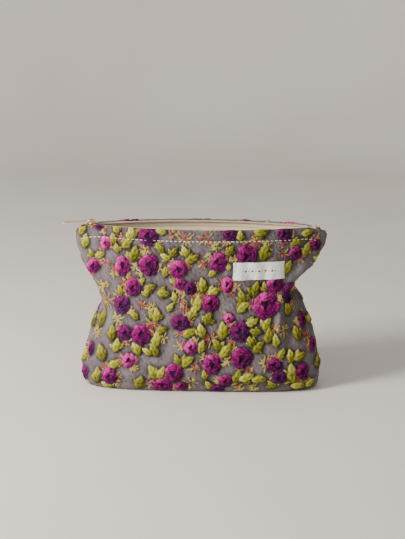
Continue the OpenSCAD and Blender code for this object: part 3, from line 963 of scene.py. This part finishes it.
def skin(side):
    """Outer jacquard panel with its woven relief."""
    shares = np.linspace(0, 1, SKIN_ROWS)
    points, us, vs = wall_grid(SKIN_COLS, shares, 0.0, SKIN_TURN, side)
    points, us, vs = add_lip(points, us, vs, side)
    normals = grid_normals(points, side)
    fields = {k: f.reshape(us.shape) for k, f in weave_relief(us, vs, side).items()}

    rim = rim_z(points[..., 0])
    lip_fade = 1 - smooth(0.3, 1.2, vs - rim)
    under = smooth(0.0, 7.0, points[..., 2])
    lift = fields["lift"] * under * lip_fade
    # the topstitch presses a furrow into the cloth
    stitch = np.exp(-((vs - (rim - STITCH_DROP)) / FURROW_W) ** 2)
    lift = lift * (1 - 0.65 * stitch) - FURROW_DEEP * stitch
    if side < 0:
        inside = (smooth(-2.0, 1.0, LABEL_W / 2 - np.abs(points[..., 0] - LABEL_X))
                  * smooth(-2.0, 1.0, LABEL_H / 2 - np.abs(points[..., 2] - LABEL_Z)))
        lift = lift * (1 - 0.75 * inside)
    pucker = ripple(us, vs, 11, ((4.4, 0.16), (2.6, 0.12), (1.6, 0.06)))
    raised = fields["rose"] + fields["leaf"] + fields["sprig"]
    lift = lift + pucker * (1 - 0.6 * raised) * lip_fade
    # cloth turns in at the side seams and at the base seam
    edge = (1 - np.abs(np.linspace(-1, 1, SKIN_COLS)))[None, :] * SEAM_REACH
    lift = lift * smooth(0.2, 2.5, edge) - 0.7 * np.exp(-(edge / 1.3) ** 2) * under
    body = settle(points, us, vs, side) * under * lip_fade
    rest = shift_along(points, normals, lift + body)
    rest[..., 2] = np.maximum(rest[..., 2], 0.15)
    # painted shade in the hollows beside the raised motifs
    fields["pit"] = crevice_shade(fields["lift"])
    rest = seam_allowance(rest, side)
    weights = widen(close_weight(points))
    us, vs = widen(us), widen(vs)

    attributes = {k: widen(fields[k]).ravel()
                  for k in ("rose", "leaf", "sprig", "tone", "shade", "pit")}
    attributes["cloth"] = np.stack([us, vs, np.zeros_like(us)], -1).reshape(-1, 3)
    obj = mesh_object(sided(side, "jacquard_panel"), rest, grid_faces(*us.shape, side < 0),
                      attributes, JACQUARD)
    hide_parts(sided(side, "outer_panel"))
    return blend_rim(obj, weights)


def layer(name, side, depth, thickness, cols, rows, drop, material, wrinkle=0.0,
          ends=0.0):
    """Closed padded or lining layer inside the outer panel, ends short of the seams."""
    shares = np.linspace(0, 1 - drop / (BAG_H - TURN_R), rows)
    # every layer settles by what the outer face does beside it, so none pokes through
    face, us, vs = wall_grid(cols, shares, 0.0, LAYER_TURN, side, ends)
    normals = grid_normals(face, side)
    under = smooth(0.0, 7.0, face[..., 2])
    amount = settle(face, us, vs, side) * under
    amount = amount - wrinkle * np.abs(ripple(us, vs, 31 + side)) * under
    shells = []
    for d in (depth, depth + thickness):
        points, us, vs = wall_grid(cols, shares, d, LAYER_TURN, side, ends)
        shells.append((points, shift_along(points, normals, amount), us, vs))
    (p0, outer, us, vs), (p1, inner, _, _) = shells
    weights = np.concatenate([close_weight(p0).ravel(), close_weight(p1).ravel()])
    verts, quads = closed_sheet(outer, inner, side < 0)
    cloth = np.stack([us, vs, np.zeros_like(us)], -1).reshape(-1, 3)
    obj = mesh_object(name, verts, quads, {"cloth": np.concatenate([cloth, cloth])},
                      material)
    return blend_rim(obj, weights)


def closed_sheet(outer, inner, flip):
    """Two grids joined round their edges into one closed skin."""
    rows, cols = outer.shape[:2]
    n = rows * cols
    index = np.arange(n).reshape(rows, cols)
    faces = [grid_faces(rows, cols, flip), grid_faces(rows, cols, not flip) + n]
    loop = np.concatenate([index[0, :-1], index[:-1, -1], index[-1, :0:-1],
                           index[:0:-1, 0]])
    nxt = np.roll(loop, -1)
    rim = np.stack([loop, nxt, nxt + n, loop + n], -1)
    faces.append(rim if flip else rim[:, ::-1])
    verts = np.concatenate([outer.reshape(-1, 3), inner.reshape(-1, 3)])
    return verts, np.concatenate(faces)


def base_sheet(name, z, thickness, inset, material, node, bulge=0.0):
    """Flat oval layer of the base."""
    cols, rows = 160, 48
    x, y, _ = wall_row(0.0, inset, np.linspace(-1, 1, cols))
    across = np.linspace(-1, 1, rows)[:, None]
    grid = np.stack([np.broadcast_to(x, (rows, cols)), across * y[None, :],
                     np.full((rows, cols), float(z))], -1)
    middle = (1 - across ** 2) * (1 - (x / np.abs(x).max())[None, :] ** 2)
    soft = ripple(grid[..., 0], grid[..., 1], 77) * bulge
    grid[..., 2] += bulge * middle * 1.2 + soft * middle
    top = grid.copy()
    top[..., 2] += thickness
    verts, quads = closed_sheet(top, grid, True)
    flat = grid.reshape(-1, 3)
    fields = {"cloth": np.concatenate([flat, flat])}
    if material is JACQUARD:
        woven = weave_relief(grid[..., 0], grid[..., 1] + 80, -1)
        for key in ("rose", "leaf", "sprig", "tone", "shade"):
            fields[key] = np.concatenate([woven[key], woven[key]])
    obj = mesh_object(name, verts, quads, fields, material)
    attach(obj, "bag")
    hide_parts(node)
    return obj


def wall_at(x, drop, side, lift=0.0):
    """On the settled wall at x, drop below the rim: place, outward way, unsettled place."""
    t = 1 - drop / (BAG_H - TURN_R)
    ox, oy = outline(t, 0.0)
    order = np.argsort(ox)
    y = np.interp(x, ox[order], oy[order])
    slope = (np.interp(x + 0.5, ox[order], oy[order])
             - np.interp(x - 0.5, ox[order], oy[order]))
    z = TURN_R + (rim_z(x) - TURN_R) * t
    steps = np.concatenate([[0], np.cumsum(np.hypot(np.diff(ox), np.diff(oy)))])
    arc = steps[len(steps) // 2] - steps
    u = np.interp(x, ox[order], arc[order])
    normal = np.stack([-slope, np.ones_like(slope), np.zeros_like(slope)], -1)
    normal /= np.linalg.norm(normal, axis=-1, keepdims=True)
    points = np.stack([x, side * y, z], -1)
    normal[..., 1] *= side
    amount = settle(points, u, z, side) + lift
    return points + normal * amount[..., None], normal, points


# ---------------------------------------------------------------- thread, coil and tape
def sweep(path, frames, profile, closed=True):
    """Tube of the given profile along a path. frames holds two side vectors a point."""
    a, b = frames
    rings = (path[:, None, :] + a[:, None, :] * profile[None, :, 0:1]
             + b[:, None, :] * profile[None, :, 1:2])
    rows, cols = rings.shape[:2]
    quads = grid_faces(rows, cols, False, closed=closed)
    return rings.reshape(-1, 3), quads


def circle_profile(r, sides):
    """Points of a round thread's section."""
    a = np.arange(sides) * 2 * math.pi / sides
    return np.stack([np.cos(a) * r, np.sin(a) * r], -1)


def path_frames(path, up=(0, 0, 1)):
    """Two directions across a path at each of its points."""
    tangent = np.gradient(path, axis=0)
    tangent /= np.linalg.norm(tangent, axis=1, keepdims=True)
    side = np.cross(np.broadcast_to(up, tangent.shape), tangent)
    side /= np.maximum(np.linalg.norm(side, axis=1, keepdims=True), 1e-9)
    return side, np.cross(tangent, side)


def stitch_mesh(start, end, normal, r):
    """One lockstitch: a short thread that rises from the cloth and dips back in."""
    s = np.linspace(0, 1, 9)[:, None]
    arc = np.sin(math.pi * s) ** 0.6
    path = start + (end - start) * s + normal * (arc * 1.3 - 0.75) * r
    taper = 0.55 + 0.45 * np.sin(math.pi * np.clip(s, 0.04, 0.96)) ** 0.5
    side = np.cross(end - start, normal)
    side /= np.linalg.norm(side)
    a = np.repeat(side[None], 9, 0) * taper
    b = np.repeat(np.asarray(normal, float)[None], 9, 0) * taper
    return sweep(path, (a, b), circle_profile(r, 8))


def joined(parts):
    """Several meshes as one list of points and quads."""
    verts, quads, start = [], [], 0
    for v, q in parts:
        verts.append(v)
        quads.append(q + start)
        start += len(v)
    return np.concatenate(verts), np.concatenate(quads)


STITCH_PITCH, STITCH_LEN, STITCH_R, STITCH_SINK = 4.1, 2.9, 0.36, 0.25
STITCH_REACH = HALF_MOUTH - 6


def topstitch(side):
    """Row of separate stitches under the rim."""
    parts, rest = [], []
    dice = np.random.default_rng(40 + side)
    for k in range(int(2 * STITCH_REACH / STITCH_PITCH)):
        x = k * STITCH_PITCH - STITCH_REACH + dice.uniform(-0.15, 0.15)
        xs = np.array([x, x + STITCH_LEN])
        place, normal, _ = wall_at(xs, STITCH_DROP, side, -STITCH_SINK)
        v, q = stitch_mesh(place[0], place[1], normal[0], STITCH_R)
        parts.append((v, q))
        rest.append(np.tile([xs.mean(), 0.0, place[0][2]], (len(v), 1)))
    obj = mesh_object(sided(side, "topstitch_thread"), *joined(parts), material=CREAM_THREAD)
    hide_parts(sided(side, "topstitch"))
    return blend_rim(obj, close_weight(np.concatenate(rest)))


# the coil starts inside the resting slider and ends short of its wedge when closed
COIL_START, COIL_END = -101.5, 101.8
COIL_PITCH, COIL_TURN_POINTS, COIL_SIDES = 1.36, 14, 6
COIL_WIRE_R, COIL_HALF_H, COIL_DROP = 0.27, 0.62, 0.5


def zip_coil(side):
    """Nylon coil: one continuous helix sewn along the tape's edge."""
    turns = int((COIL_END - COIL_START) / COIL_PITCH)
    phase = 0.0 if side < 0 else 0.5
    s = np.arange(turns * COIL_TURN_POINTS + 1) / COIL_TURN_POINTS
    x = COIL_START + (s + phase) * COIL_PITCH
    a = 2 * math.pi * s
    across = np.clip(1 - (x / mouth_half(COIL_S)) ** 2, 0, 1)
    y = SEAM_GAP + (MOUTH_D - COIL_S - SEAM_GAP) * across
    path = np.stack([x, side * (y - COIL_R * np.cos(a)),
                     BAG_H - COIL_DROP + COIL_HALF_H * np.sin(a)], -1)
    verts, quads = sweep(path, path_frames(path, (1, 0, 0)),
                         circle_profile(COIL_WIRE_R, COIL_SIDES))
    obj = mesh_object(sided(side, "coil_teeth"), verts, quads, material=COIL)
    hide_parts(sided(side, "zip_coil"))
    centre = np.stack([x, y, np.full_like(x, BAG_H)], -1)
    return blend_rim(obj, close_weight(np.repeat(centre, COIL_SIDES, axis=0)))


TAPE_REACH, TAPE_COLS, TAPE_ROWS = 110.5, 240, 22
TAPE_LOW, TAPE_HIGH = -14.0, -2.0      # over the rim, of the tape's hanging part
# the sewn edge bends in under the coil: depth inwards, height over the rim
TAPE_EDGE = [(0.1, -1.35), (0.35, -1.0), (0.8, -0.85), (1.5, -0.85)]
TAPE_LEVEL_TO = 108.5    # the sewn edge keeps the slider's level as far as the stops


def tape_rows(face):
    """Depth, and height over the rim, of the tape's rows at a depth into its thickness."""
    depth = TAPE_S + face
    hanging = [(depth, dz) for dz in np.linspace(TAPE_LOW, TAPE_HIGH, TAPE_ROWS)]
    return hanging + [(depth + d, dz - face) for d, dz in TAPE_EDGE]


def zip_tape(side):
    """Woven tape that hangs inside the rim and bends in under its coil."""
    x = TAPE_REACH * np.sin(np.linspace(-math.pi / 2, math.pi / 2, TAPE_COLS))
    shells = []
    for face in (0.0, TAPE_T):
        grid = []
        for d, dz in tape_rows(face):
            half = mouth_half(d) + 1.5
            wide = station(1 + dz / BAG_H, DEPTH) - d - SEAM_GAP
            y = SEAM_GAP + wide * np.clip(1 - (x / half) ** 2, 0.004, 1)
            level = (1 - smooth(TAPE_LEVEL_TO, 112, np.abs(x))) * smooth(-9, -2.5, dz)
            z = rim_z(x) + (BAG_H - rim_z(x)) * level + dz
            grid.append(np.stack([x, side * y, z], -1))
        shells.append(np.array(grid))
    verts, quads = closed_sheet(*shells, side < 0)
    u, v = np.meshgrid(x, [dz for _, dz in tape_rows(0.0)])
    cloth = np.stack([u, v, np.zeros_like(u)], -1).reshape(-1, 3)
    obj = mesh_object(sided(side, "zip_tape_cloth"), verts, quads,
                      {"cloth": np.concatenate([cloth, cloth])}, TAPE)
    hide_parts(sided(side, "zip_tape"))
    return blend_rim(obj, close_weight(verts))


# ---------------------------------------------------------------- seams and label
SEAM_DEEP, SEAM_PLY_R, SEAM_TWIST_R, SEAM_TWIST = 1.3, 0.26, 0.24, 0.9


def side_seam(word, column, way):
    """Twisted seam thread in the valley between the front and back panels."""
    t = np.linspace(0.02, 0.985, 260)
    x = way * (station(t, column) - SEAM_DEEP)
    z = TURN_R + (rim_z(x) - TURN_R) * t
    path = np.stack([x, np.zeros_like(x), z], -1)
    parts = []
    for ply in (0, math.pi):
        a = np.arange(len(path)) * SEAM_TWIST + ply
        strand = path + SEAM_TWIST_R * np.stack([np.cos(a), np.sin(a), 0 * a], -1)
        parts.append(sweep(strand, path_frames(strand, (0, 1, 0)),
                           circle_profile(SEAM_PLY_R, 6)))
    obj = mesh_object(word + "_seam_thread", *joined(parts), material=DARK_THREAD)
    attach(obj, "bag")
    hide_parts(word + "_side_seam")


def label_offset(x, z):
    """Height of the label over the wall: it spans the flowers and dips at its ends."""
    across = np.abs(x - LABEL_X) / (LABEL_W / 2)
    up = (z - LABEL_Z) / (LABEL_H / 2)
    wave = 0.18 * np.sin(0.17 * (x - LABEL_X) + 1.3) * up + 0.12 * np.cos(0.3 * x)
    return 1.05 - 0.35 * smooth(0.85, 1.0, across) + wave


DIAMOND_PITCH, DIAMONDS_EACH_WAY = 3.1, 5


def label():
    """Woven ribbon with thick selvedges and a row of small diamonds."""
    cols, rows = 140, 52
    xs = LABEL_X + LABEL_W * np.linspace(-0.5, 0.5, cols)
    zs = LABEL_Z + LABEL_H * np.linspace(-0.5, 0.5, rows)
    grid, rest = np.zeros((rows, cols, 3)), np.zeros((rows, cols, 3))
    _, normal, _ = wall_at(xs, BAG_H - LABEL_Z, -1)
    for r, z in enumerate(zs):
        place, _, rest[r] = wall_at(xs, BAG_H - z, -1)
        grid[r] = place + normal * label_offset(xs, z)[:, None]
    # the selvedges are thicker, and a fine rib runs along every other row
    up = np.abs(np.linspace(-1, 1, rows))[:, None]
    front = grid.copy()
    front[..., 1] -= 0.32 + 0.14 * smooth(0.9, 0.97, up) - 0.25 * smooth(0.975, 1.0, up)
    front[..., 1] += 0.02 * np.cos(np.arange(rows) * math.pi)[:, None]
    mark = np.zeros((rows, cols))
    gx, gz = np.meshgrid(xs - LABEL_X, zs - LABEL_Z)
    for k in range(-DIAMONDS_EACH_WAY, DIAMONDS_EACH_WAY + 1):
        size = 1.25 if k % 2 == 0 else 0.7
        d = np.abs(gx - DIAMOND_PITCH * k) + np.abs(gz)
        mark = np.maximum(mark, 1 - smooth(size - 0.25, size + 0.2, d))
    verts, quads = closed_sheet(front, grid, True)
    cloth = np.stack([gx, gz, np.zeros_like(gx)], -1).reshape(-1, 3)
    obj = mesh_object("woven_label", verts, quads,
                      {"cloth": np.concatenate([cloth, cloth]),
                       "mark": np.concatenate([mark.ravel(), np.zeros(mark.size)])}, LABEL)
    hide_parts("brand_label")
    return blend_rim(obj, close_weight(np.concatenate([rest, rest])))


TACK_INSET, TACK_PITCH, TACK_R = 1.6, 1.75, 0.22
TACK_HALF, TACK_LIFT = np.array([0, 0, 0.65]), 0.42


def label_threads():
    """Upright stitches that hold the label's two ends."""
    parts, rest = [], []
    for end in (-1, 1):
        x = LABEL_X + end * (LABEL_W / 2 - TACK_INSET)
        for k in range(-4, 5):
            z = LABEL_Z + TACK_PITCH * k
            places, normals, flats = wall_at(np.array([x]), BAG_H - z, -1)
            centre = places[0] + normals[0] * (label_offset(x, z) + TACK_LIFT)
            v, q = stitch_mesh(centre - TACK_HALF, centre + TACK_HALF, normals[0], TACK_R)
            parts.append((v, q))
            rest.append(np.tile(flats[0], (len(v), 1)))
    obj = mesh_object("label_stitching", *joined(parts), material=CREAM_THREAD)
    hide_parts("label_stitches")
    return blend_rim(obj, close_weight(np.concatenate(rest)))


# ---------------------------------------------------------------- metal parts
def to_object(name, bm):
    """Turn a bmesh in millimetres into an object in metres."""
    bmesh.ops.recalc_face_normals(bm, faces=bm.faces)
    bmesh.ops.scale(bm, vec=(MM, MM, MM), verts=bm.verts)
    mesh = bpy.data.meshes.new(name)
    bm.to_mesh(mesh)
    bm.free()
    return collection_link(bpy.data.objects.new(name, mesh))


def apply_modifiers(obj, sharp_angle):
    """Make the modifiers' shape the mesh itself, smooth except at sharp edges."""
    depsgraph = bpy.context.evaluated_depsgraph_get()
    mesh = bpy.data.meshes.new_from_object(obj.evaluated_get(depsgraph))
    obj.modifiers.clear()
    obj.data = mesh
    mesh.shade_smooth()
    mesh.set_sharp_from_angle(angle=math.radians(sharp_angle))


def bevelled(name, bm, material, width):
    """Turn a bmesh in millimetres into a bevelled metal piece."""
    obj = to_object(name, bm)
    obj.data.materials.append(material)
    modifier = obj.modifiers.new("edges", "BEVEL")
    modifier.width = width * MM
    modifier.segments = 3
    modifier.limit_method = "ANGLE"
    modifier.angle_limit = math.radians(30)
    apply_modifiers(obj, 40)
    return obj


def prism(bm, outline_points, low_z, high_z, matrix=Matrix()):
    """Extrude a closed outline between two heights."""
    lower = [bm.verts.new(matrix @ Vector((x, y, low_z))) for x, y in outline_points]
    upper = [bm.verts.new(matrix @ Vector((x, y, high_z))) for x, y in outline_points]
    bm.faces.new(lower[::-1])
    bm.faces.new(upper)
    count = len(lower)
    for k in range(count):
        j = (k + 1) % count
        bm.faces.new((lower[k], lower[j], upper[j], upper[k]))


def centre_and_size(node):
    """Middle and extent of a CAD node's box, in millimetres."""
    a, b = (np.array(corner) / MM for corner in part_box(node))
    return (a + b) / 2, b - a


LOWER_PLATE_W = 5.0      # narrower, so that it runs between the two hanging tapes


def slider_outline(length, width):
    """Pear outline of a zip slider's plate, its nose towards +X."""
    points = []
    for k in range(48):
        a = 2 * math.pi * k / 48
        x = math.copysign(abs(math.cos(a)) ** 0.75, math.cos(a))
        y = math.copysign(abs(math.sin(a)) ** 0.6, math.sin(a))
        swell = 1 - 0.2 * x ** 2 - 0.10 * x
        points.append((0.5 * length * x, 0.5 * width * y * swell))
    return points


def slider():
    """Two plates joined by a wedge, with flanges that hold the coils in."""
    centre, size = centre_and_size("slider_body")
    top, channel = size[2] / 2, 2 * COIL_R + 0.5
    place = Matrix.Translation(Vector(centre))
    bm = bmesh.new()
    prism(bm, slider_outline(size[0], size[1]), channel / 2, top, place)
    prism(bm, slider_outline(size[0], LOWER_PLATE_W), -top, -channel / 2, place)
    nose, heel = size[0] / 2, -size[0] / 2
    wedge = [(nose - 0.6, 0.0), (nose - 2.4, 1.0), (nose - 4.2, 0.0), (nose - 2.4, -1.0)]
    prism(bm, wedge, -channel / 2, channel / 2, place)
    # flanges turn down from the upper plate only, so the tapes pass under them
    for edge in (-1, 1):
        y0, y1 = edge * (size[1] / 2 - 0.75), edge * (size[1] / 2 - 0.1)
        lip = [(heel + 0.6, y0), (0.8, y0), (1.2, y1), (heel + 0.9, y1)]
        prism(bm, lip if edge < 0 else lip[::-1], 0.35, channel / 2, place)
    obj = bevelled("zip_slider_body", bm, BRASS, 0.28)
    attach(obj, "slider")
    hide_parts("slider_body")


def arch(bm, pin, length, rise, width, thick, base_z):
    """Bridge of a slider's crown, along X over the pull's pin."""
    steps = 20
    high = rise + pin[2] - base_z
    ring = []
    for y in (-width / 2, width / 2):
        for inset in (0, thick):
            row = []
            for a in np.linspace(0, math.pi, steps + 1):
                x = pin[0] - math.cos(a) * (length / 2 - inset)
                z = base_z + (high - inset) * abs(math.sin(a)) ** 0.5
                row.append(bm.verts.new((x, y, z)))
            ring.append(row)
    o0, i0, o1, i1 = ring
    for k in range(steps):
        bm.faces.new((o0[k], o0[k + 1], o1[k + 1], o1[k]))
        bm.faces.new((i0[k + 1], i0[k], i1[k], i1[k + 1]))
        bm.faces.new((o0[k + 1], o0[k], i0[k], i0[k + 1]))
        bm.faces.new((o1[k], o1[k + 1], i1[k + 1], i1[k]))
    bm.faces.new((o0[0], o1[0], i1[0], i0[0]))
    bm.faces.new((o1[steps], o0[steps], i0[steps], i1[steps]))


def pin_place():
    """The axis that the pull swings on, in millimetres."""
    joint = next(j for j in frame["joints"] if j["name"] == "pull_swing")
    return np.array(joint["pos_m"]) / MM


CROWN_LEN, CROWN_RISE, CROWN_W, CROWN_T, CROWN_SINK = 6.4, 1.7, 1.9, 0.8, 0.15


def crown():
    """The slider's bridge."""
    centre, size = centre_and_size("slider_body")
    bm = bmesh.new()
    arch(bm, pin_place(), CROWN_LEN, CROWN_RISE, CROWN_W, CROWN_T,
         centre[2] + size[2] / 2 - CROWN_SINK)
    obj = bevelled("zip_slider_crown", bm, BRASS, 0.22)
    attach(obj, "slider")
    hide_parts("slider_crown")


PULL_LEN, PULL_W, PULL_T, PULL_DROOP = 29.0, 7.0, 0.8, 5.3
PULL_END = 1.3           # past the pin, less than the pin's height over the slider
PULL_HEAD_X, PULL_HEAD_LEN, PULL_HEAD_HALF = -1.2, 2.65, 2.6
PULL_NECK_X, PULL_NECK_HALF, PULL_WAIST_HALF = -4.5, 1.35, 1.5
PULL_TIP_LEN = 3.2
EYE_X, EYE_HALF_LEN, EYE_HALF_W = -1.7, 2.35, 1.6


def round_end(share):
    """Height of a unit circle at a share of its radius, and 0 past it."""
    return math.sqrt(max(0.0, 1 - share ** 2))


def pull_half_width(x):
    """Half width of the pull at x along it: a rounded head, a slim neck, a wider tip."""
    if x > PULL_NECK_X:
        half = PULL_HEAD_HALF * round_end((x - PULL_HEAD_X) / PULL_HEAD_LEN) ** 0.8
        return max(half, PULL_NECK_HALF if x < -2.5 else 0.0)
    grow = float(smooth(PULL_NECK_X, -PULL_LEN + 6, x))
    half = PULL_WAIST_HALF + (PULL_W / 2 - PULL_WAIST_HALF) * grow
    tip = (x + PULL_LEN) / PULL_TIP_LEN
    return half * round_end(1 - tip) if tip < 1 else half


def pull():
    """Flat pull whose eye rides round the crown."""
    turn = (Matrix.Translation(Vector(pin_place()))
            @ Matrix.Rotation(math.radians(-PULL_DROOP), 4, "Y"))
    steps = 26
    xs = [PULL_END - k / steps * (PULL_LEN + PULL_END) for k in range(steps + 1)]
    edge = [(x, pull_half_width(x)) for x in xs if pull_half_width(x) > 0.02]
    bm = bmesh.new()
    prism(bm, edge + [(x, -half) for x, half in edge[::-1]], -PULL_T / 2, PULL_T / 2, turn)
    obj = bevelled("zip_pull", bm, PALE_GOLD, 0.22)

    cutter = bmesh.new()
    eye = [(EYE_X + EYE_HALF_LEN * math.cos(a), EYE_HALF_W * math.sin(a))
           for a in np.linspace(0, 2 * math.pi, 33)[:-1]]
    prism(cutter, eye, -3, 3, turn)
    tool = to_object("eye_cutter", cutter)
    modifier = obj.modifiers.new("eye", "BOOLEAN")
    modifier.operation = "DIFFERENCE"
    modifier.solver = "EXACT"
    modifier.object = tool
    apply_modifiers(obj, 35)
    bpy.data.objects.remove(tool)
    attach(obj, "pull")
    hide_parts("pull_tab")


PIN_R, PIN_HALF = 0.6, 1.7


def pull_pin():
    """Round bar of the pull's eye that turns under the crown."""
    path = pin_place() + np.linspace(-PIN_HALF, PIN_HALF, 9)[:, None] * (0, 1, 0)
    verts, quads = sweep(path, path_frames(path), circle_profile(PIN_R, 20))
    obj = mesh_object("zip_pull_pin", verts, quads, material=PALE_GOLD)
    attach(obj, "pull")


def declare_lining(obj):
    """Read a lining panel's cloth coordinates; nothing further is done with them."""
    cloth = np.empty(len(obj.data.vertices) * 3, np.float32)
    obj.data.attributes["cloth"].data.foreach_get("vector", cloth)


def zip_stop(name, node):
    """Crimped stop: a small staple bent round both tape ends."""
    centre, size = centre_and_size(node)
    bm = bmesh.new()
    w, h = size[0] / 2, size[2] / 2
    ring = [(w * math.cos(t), h * math.sin(t)) for t in np.linspace(0, 2 * math.pi, 25)[:-1]]
    turn = Matrix.Translation(Vector(centre)) @ Matrix.Rotation(math.pi / 2, 4, "X")
    prism(bm, ring, -size[1] / 2, size[1] / 2, turn)
    obj = bevelled(name, bm, BRASS, 0.3)
    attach(obj, "bag")
    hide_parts(node)


# ---------------------------------------------------------------- build the pieces
for wall_side in (-1, 1):
    skin(wall_side)
    padding = layer(sided(wall_side, "wadding_layer"), wall_side, WADDING_S, WADDING_T, 90,
                    44, WADDING_DROP, WADDING, ends=0.02)
    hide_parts(sided(wall_side, "wadding"))
    inside = layer(sided(wall_side, "lining_cloth"), wall_side, LINING_S, LINING_T, 200, 100,
                   LINING_DROP, LINING, wrinkle=0.9)
    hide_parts(sided(wall_side, "lining"))
    declare_lining(inside)
    topstitch(wall_side)
    zip_coil(wall_side)
    zip_tape(wall_side)
side_seam("right", RIGHT_W, 1)
side_seam("left", LEFT_W, -1)
base_sheet("base_jacquard_panel", 0.1, 1.0, TURN_R + 0.2, JACQUARD, "base_outer_panel")
base_padding = base_sheet("base_wadding_layer", 1.2, 1.0, TURN_R + 0.8, WADDING,
                          "base_wadding")
base_sheet("base_lining_cloth", 3.4, 0.5, TURN_R + 0.4, LINING, "base_lining", bulge=0.5)
label()
label_threads()
slider()
crown()
pull()
pull_pin()
zip_stop("zip_bottom_staple", "zip_bottom_stop")
zip_stop("zip_top_staple", "zip_top_stop")

# hidden inside and under the bag, so the CAD's own solids stay, with a finish
CAD_FINISH = {"base_stiffener": BOARD, "base_seam": DARK_THREAD}
for node, finish in CAD_FINISH.items():
    shown = bpy.data.objects[node]
    shown.data.materials.clear()
    shown.data.materials.append(finish)


# ---------------------------------------------------------------- stage, light, camera
def stage():
    """Pale round floor that sweeps up into a wall all round."""
    bend, reach, top = 0.6, 1.9, 1.5
    # the floor starts as a tiny ring, because faces that meet in a point are degenerate
    profile = [(1e-5, 0.0), (0.6, 0.0), (reach - bend, 0.0)]
    profile += [(reach - bend + bend * math.sin(a), bend - bend * math.cos(a))
                for a in np.linspace(0.1, math.pi / 2, 16)]
    profile.append((reach, top))
    around = 96
    turn = np.arange(around) * 2 * math.pi / around
    verts = np.array([[(r * math.cos(a) / MM, r * math.sin(a) / MM, z / MM) for a in turn]
                      for r, z in profile])
    n = Nodes("stage_paper")
    colour = n.ramp(n.noise(3, 2, n.place()), (0.3, 226, 222, 216), (0.7, 232, 229, 224))
    mat = n.finish(colour, 0.7)
    obj = mesh_object("stage_sweep", verts,
                      grid_faces(len(profile), around, True, closed=True), material=mat)


def area_light(name, place, aim, size, power, colour):
    """Rectangular light at a place, turned to its aim."""
    data = bpy.data.lights.new(name, "AREA")
    data.shape = "RECTANGLE"
    data.size, data.size_y = size
    data.energy = power
    data.color = colour
    lamp = collection_link(bpy.data.objects.new(name, data))
    lamp.location = place
    lamp.rotation_euler = (Vector(aim) - Vector(place)).to_track_quat("-Z", "Y").to_euler()


stage()
AIM = (0.0, 0.0, 0.09)
area_light("key_window", (-1.15, -0.62, 0.62), AIM, (0.40, 0.52), 43, (1.0, 0.94, 0.86))
area_light("fill_front", (-0.2, -1.4, 0.6), AIM, (1.2, 1.0), 1.6, (0.95, 0.97, 1.0))
area_light("top_soft", (0.1, 0.2, 1.5), AIM, (1.2, 1.2), 4, (1.0, 0.98, 0.95))
world = bpy.data.worlds.new("studio")
world.use_nodes = True
world.node_tree.nodes["Background"].inputs[0].default_value = (0.95, 0.97, 1.0, 1)
world.node_tree.nodes["Background"].inputs[1].default_value = 0.2
bpy.context.scene.world = world

# The camera looks down a little and stands a little to the right of the middle.
CAMERA_DISTANCE = 1.164
CAMERA_HEIGHT_ANGLE = math.radians(15.5)
CAMERA_SIDE_ANGLE = math.radians(1.5)
CAMERA_ROLL = math.radians(0.4)
ORBIT_CENTRE = Vector((0, 0, 0.075))
LOOK_AT = Vector((0.0015, 0, 0.1125))
FOCAL_PER_FRAME = 2.226       # focal length over the frame's taller side
back_ward = Vector((math.sin(CAMERA_SIDE_ANGLE) * math.cos(CAMERA_HEIGHT_ANGLE),
                    -math.cos(CAMERA_SIDE_ANGLE) * math.cos(CAMERA_HEIGHT_ANGLE),
                    math.sin(CAMERA_HEIGHT_ANGLE)))
camera_data = bpy.data.cameras.new("camera")
camera_data.sensor_width = 36
camera_data.lens = 36 * FOCAL_PER_FRAME
camera_data.clip_end = 20
camera = collection_link(bpy.data.objects.new("camera", camera_data))
camera.location = ORBIT_CENTRE + back_ward * CAMERA_DISTANCE
aim = (LOOK_AT - camera.location).to_track_quat("-Z", "Y")
camera.rotation_euler = (aim.to_matrix() @ Matrix.Rotation(CAMERA_ROLL, 3, "Z")).to_euler()
bpy.context.scene.camera = camera
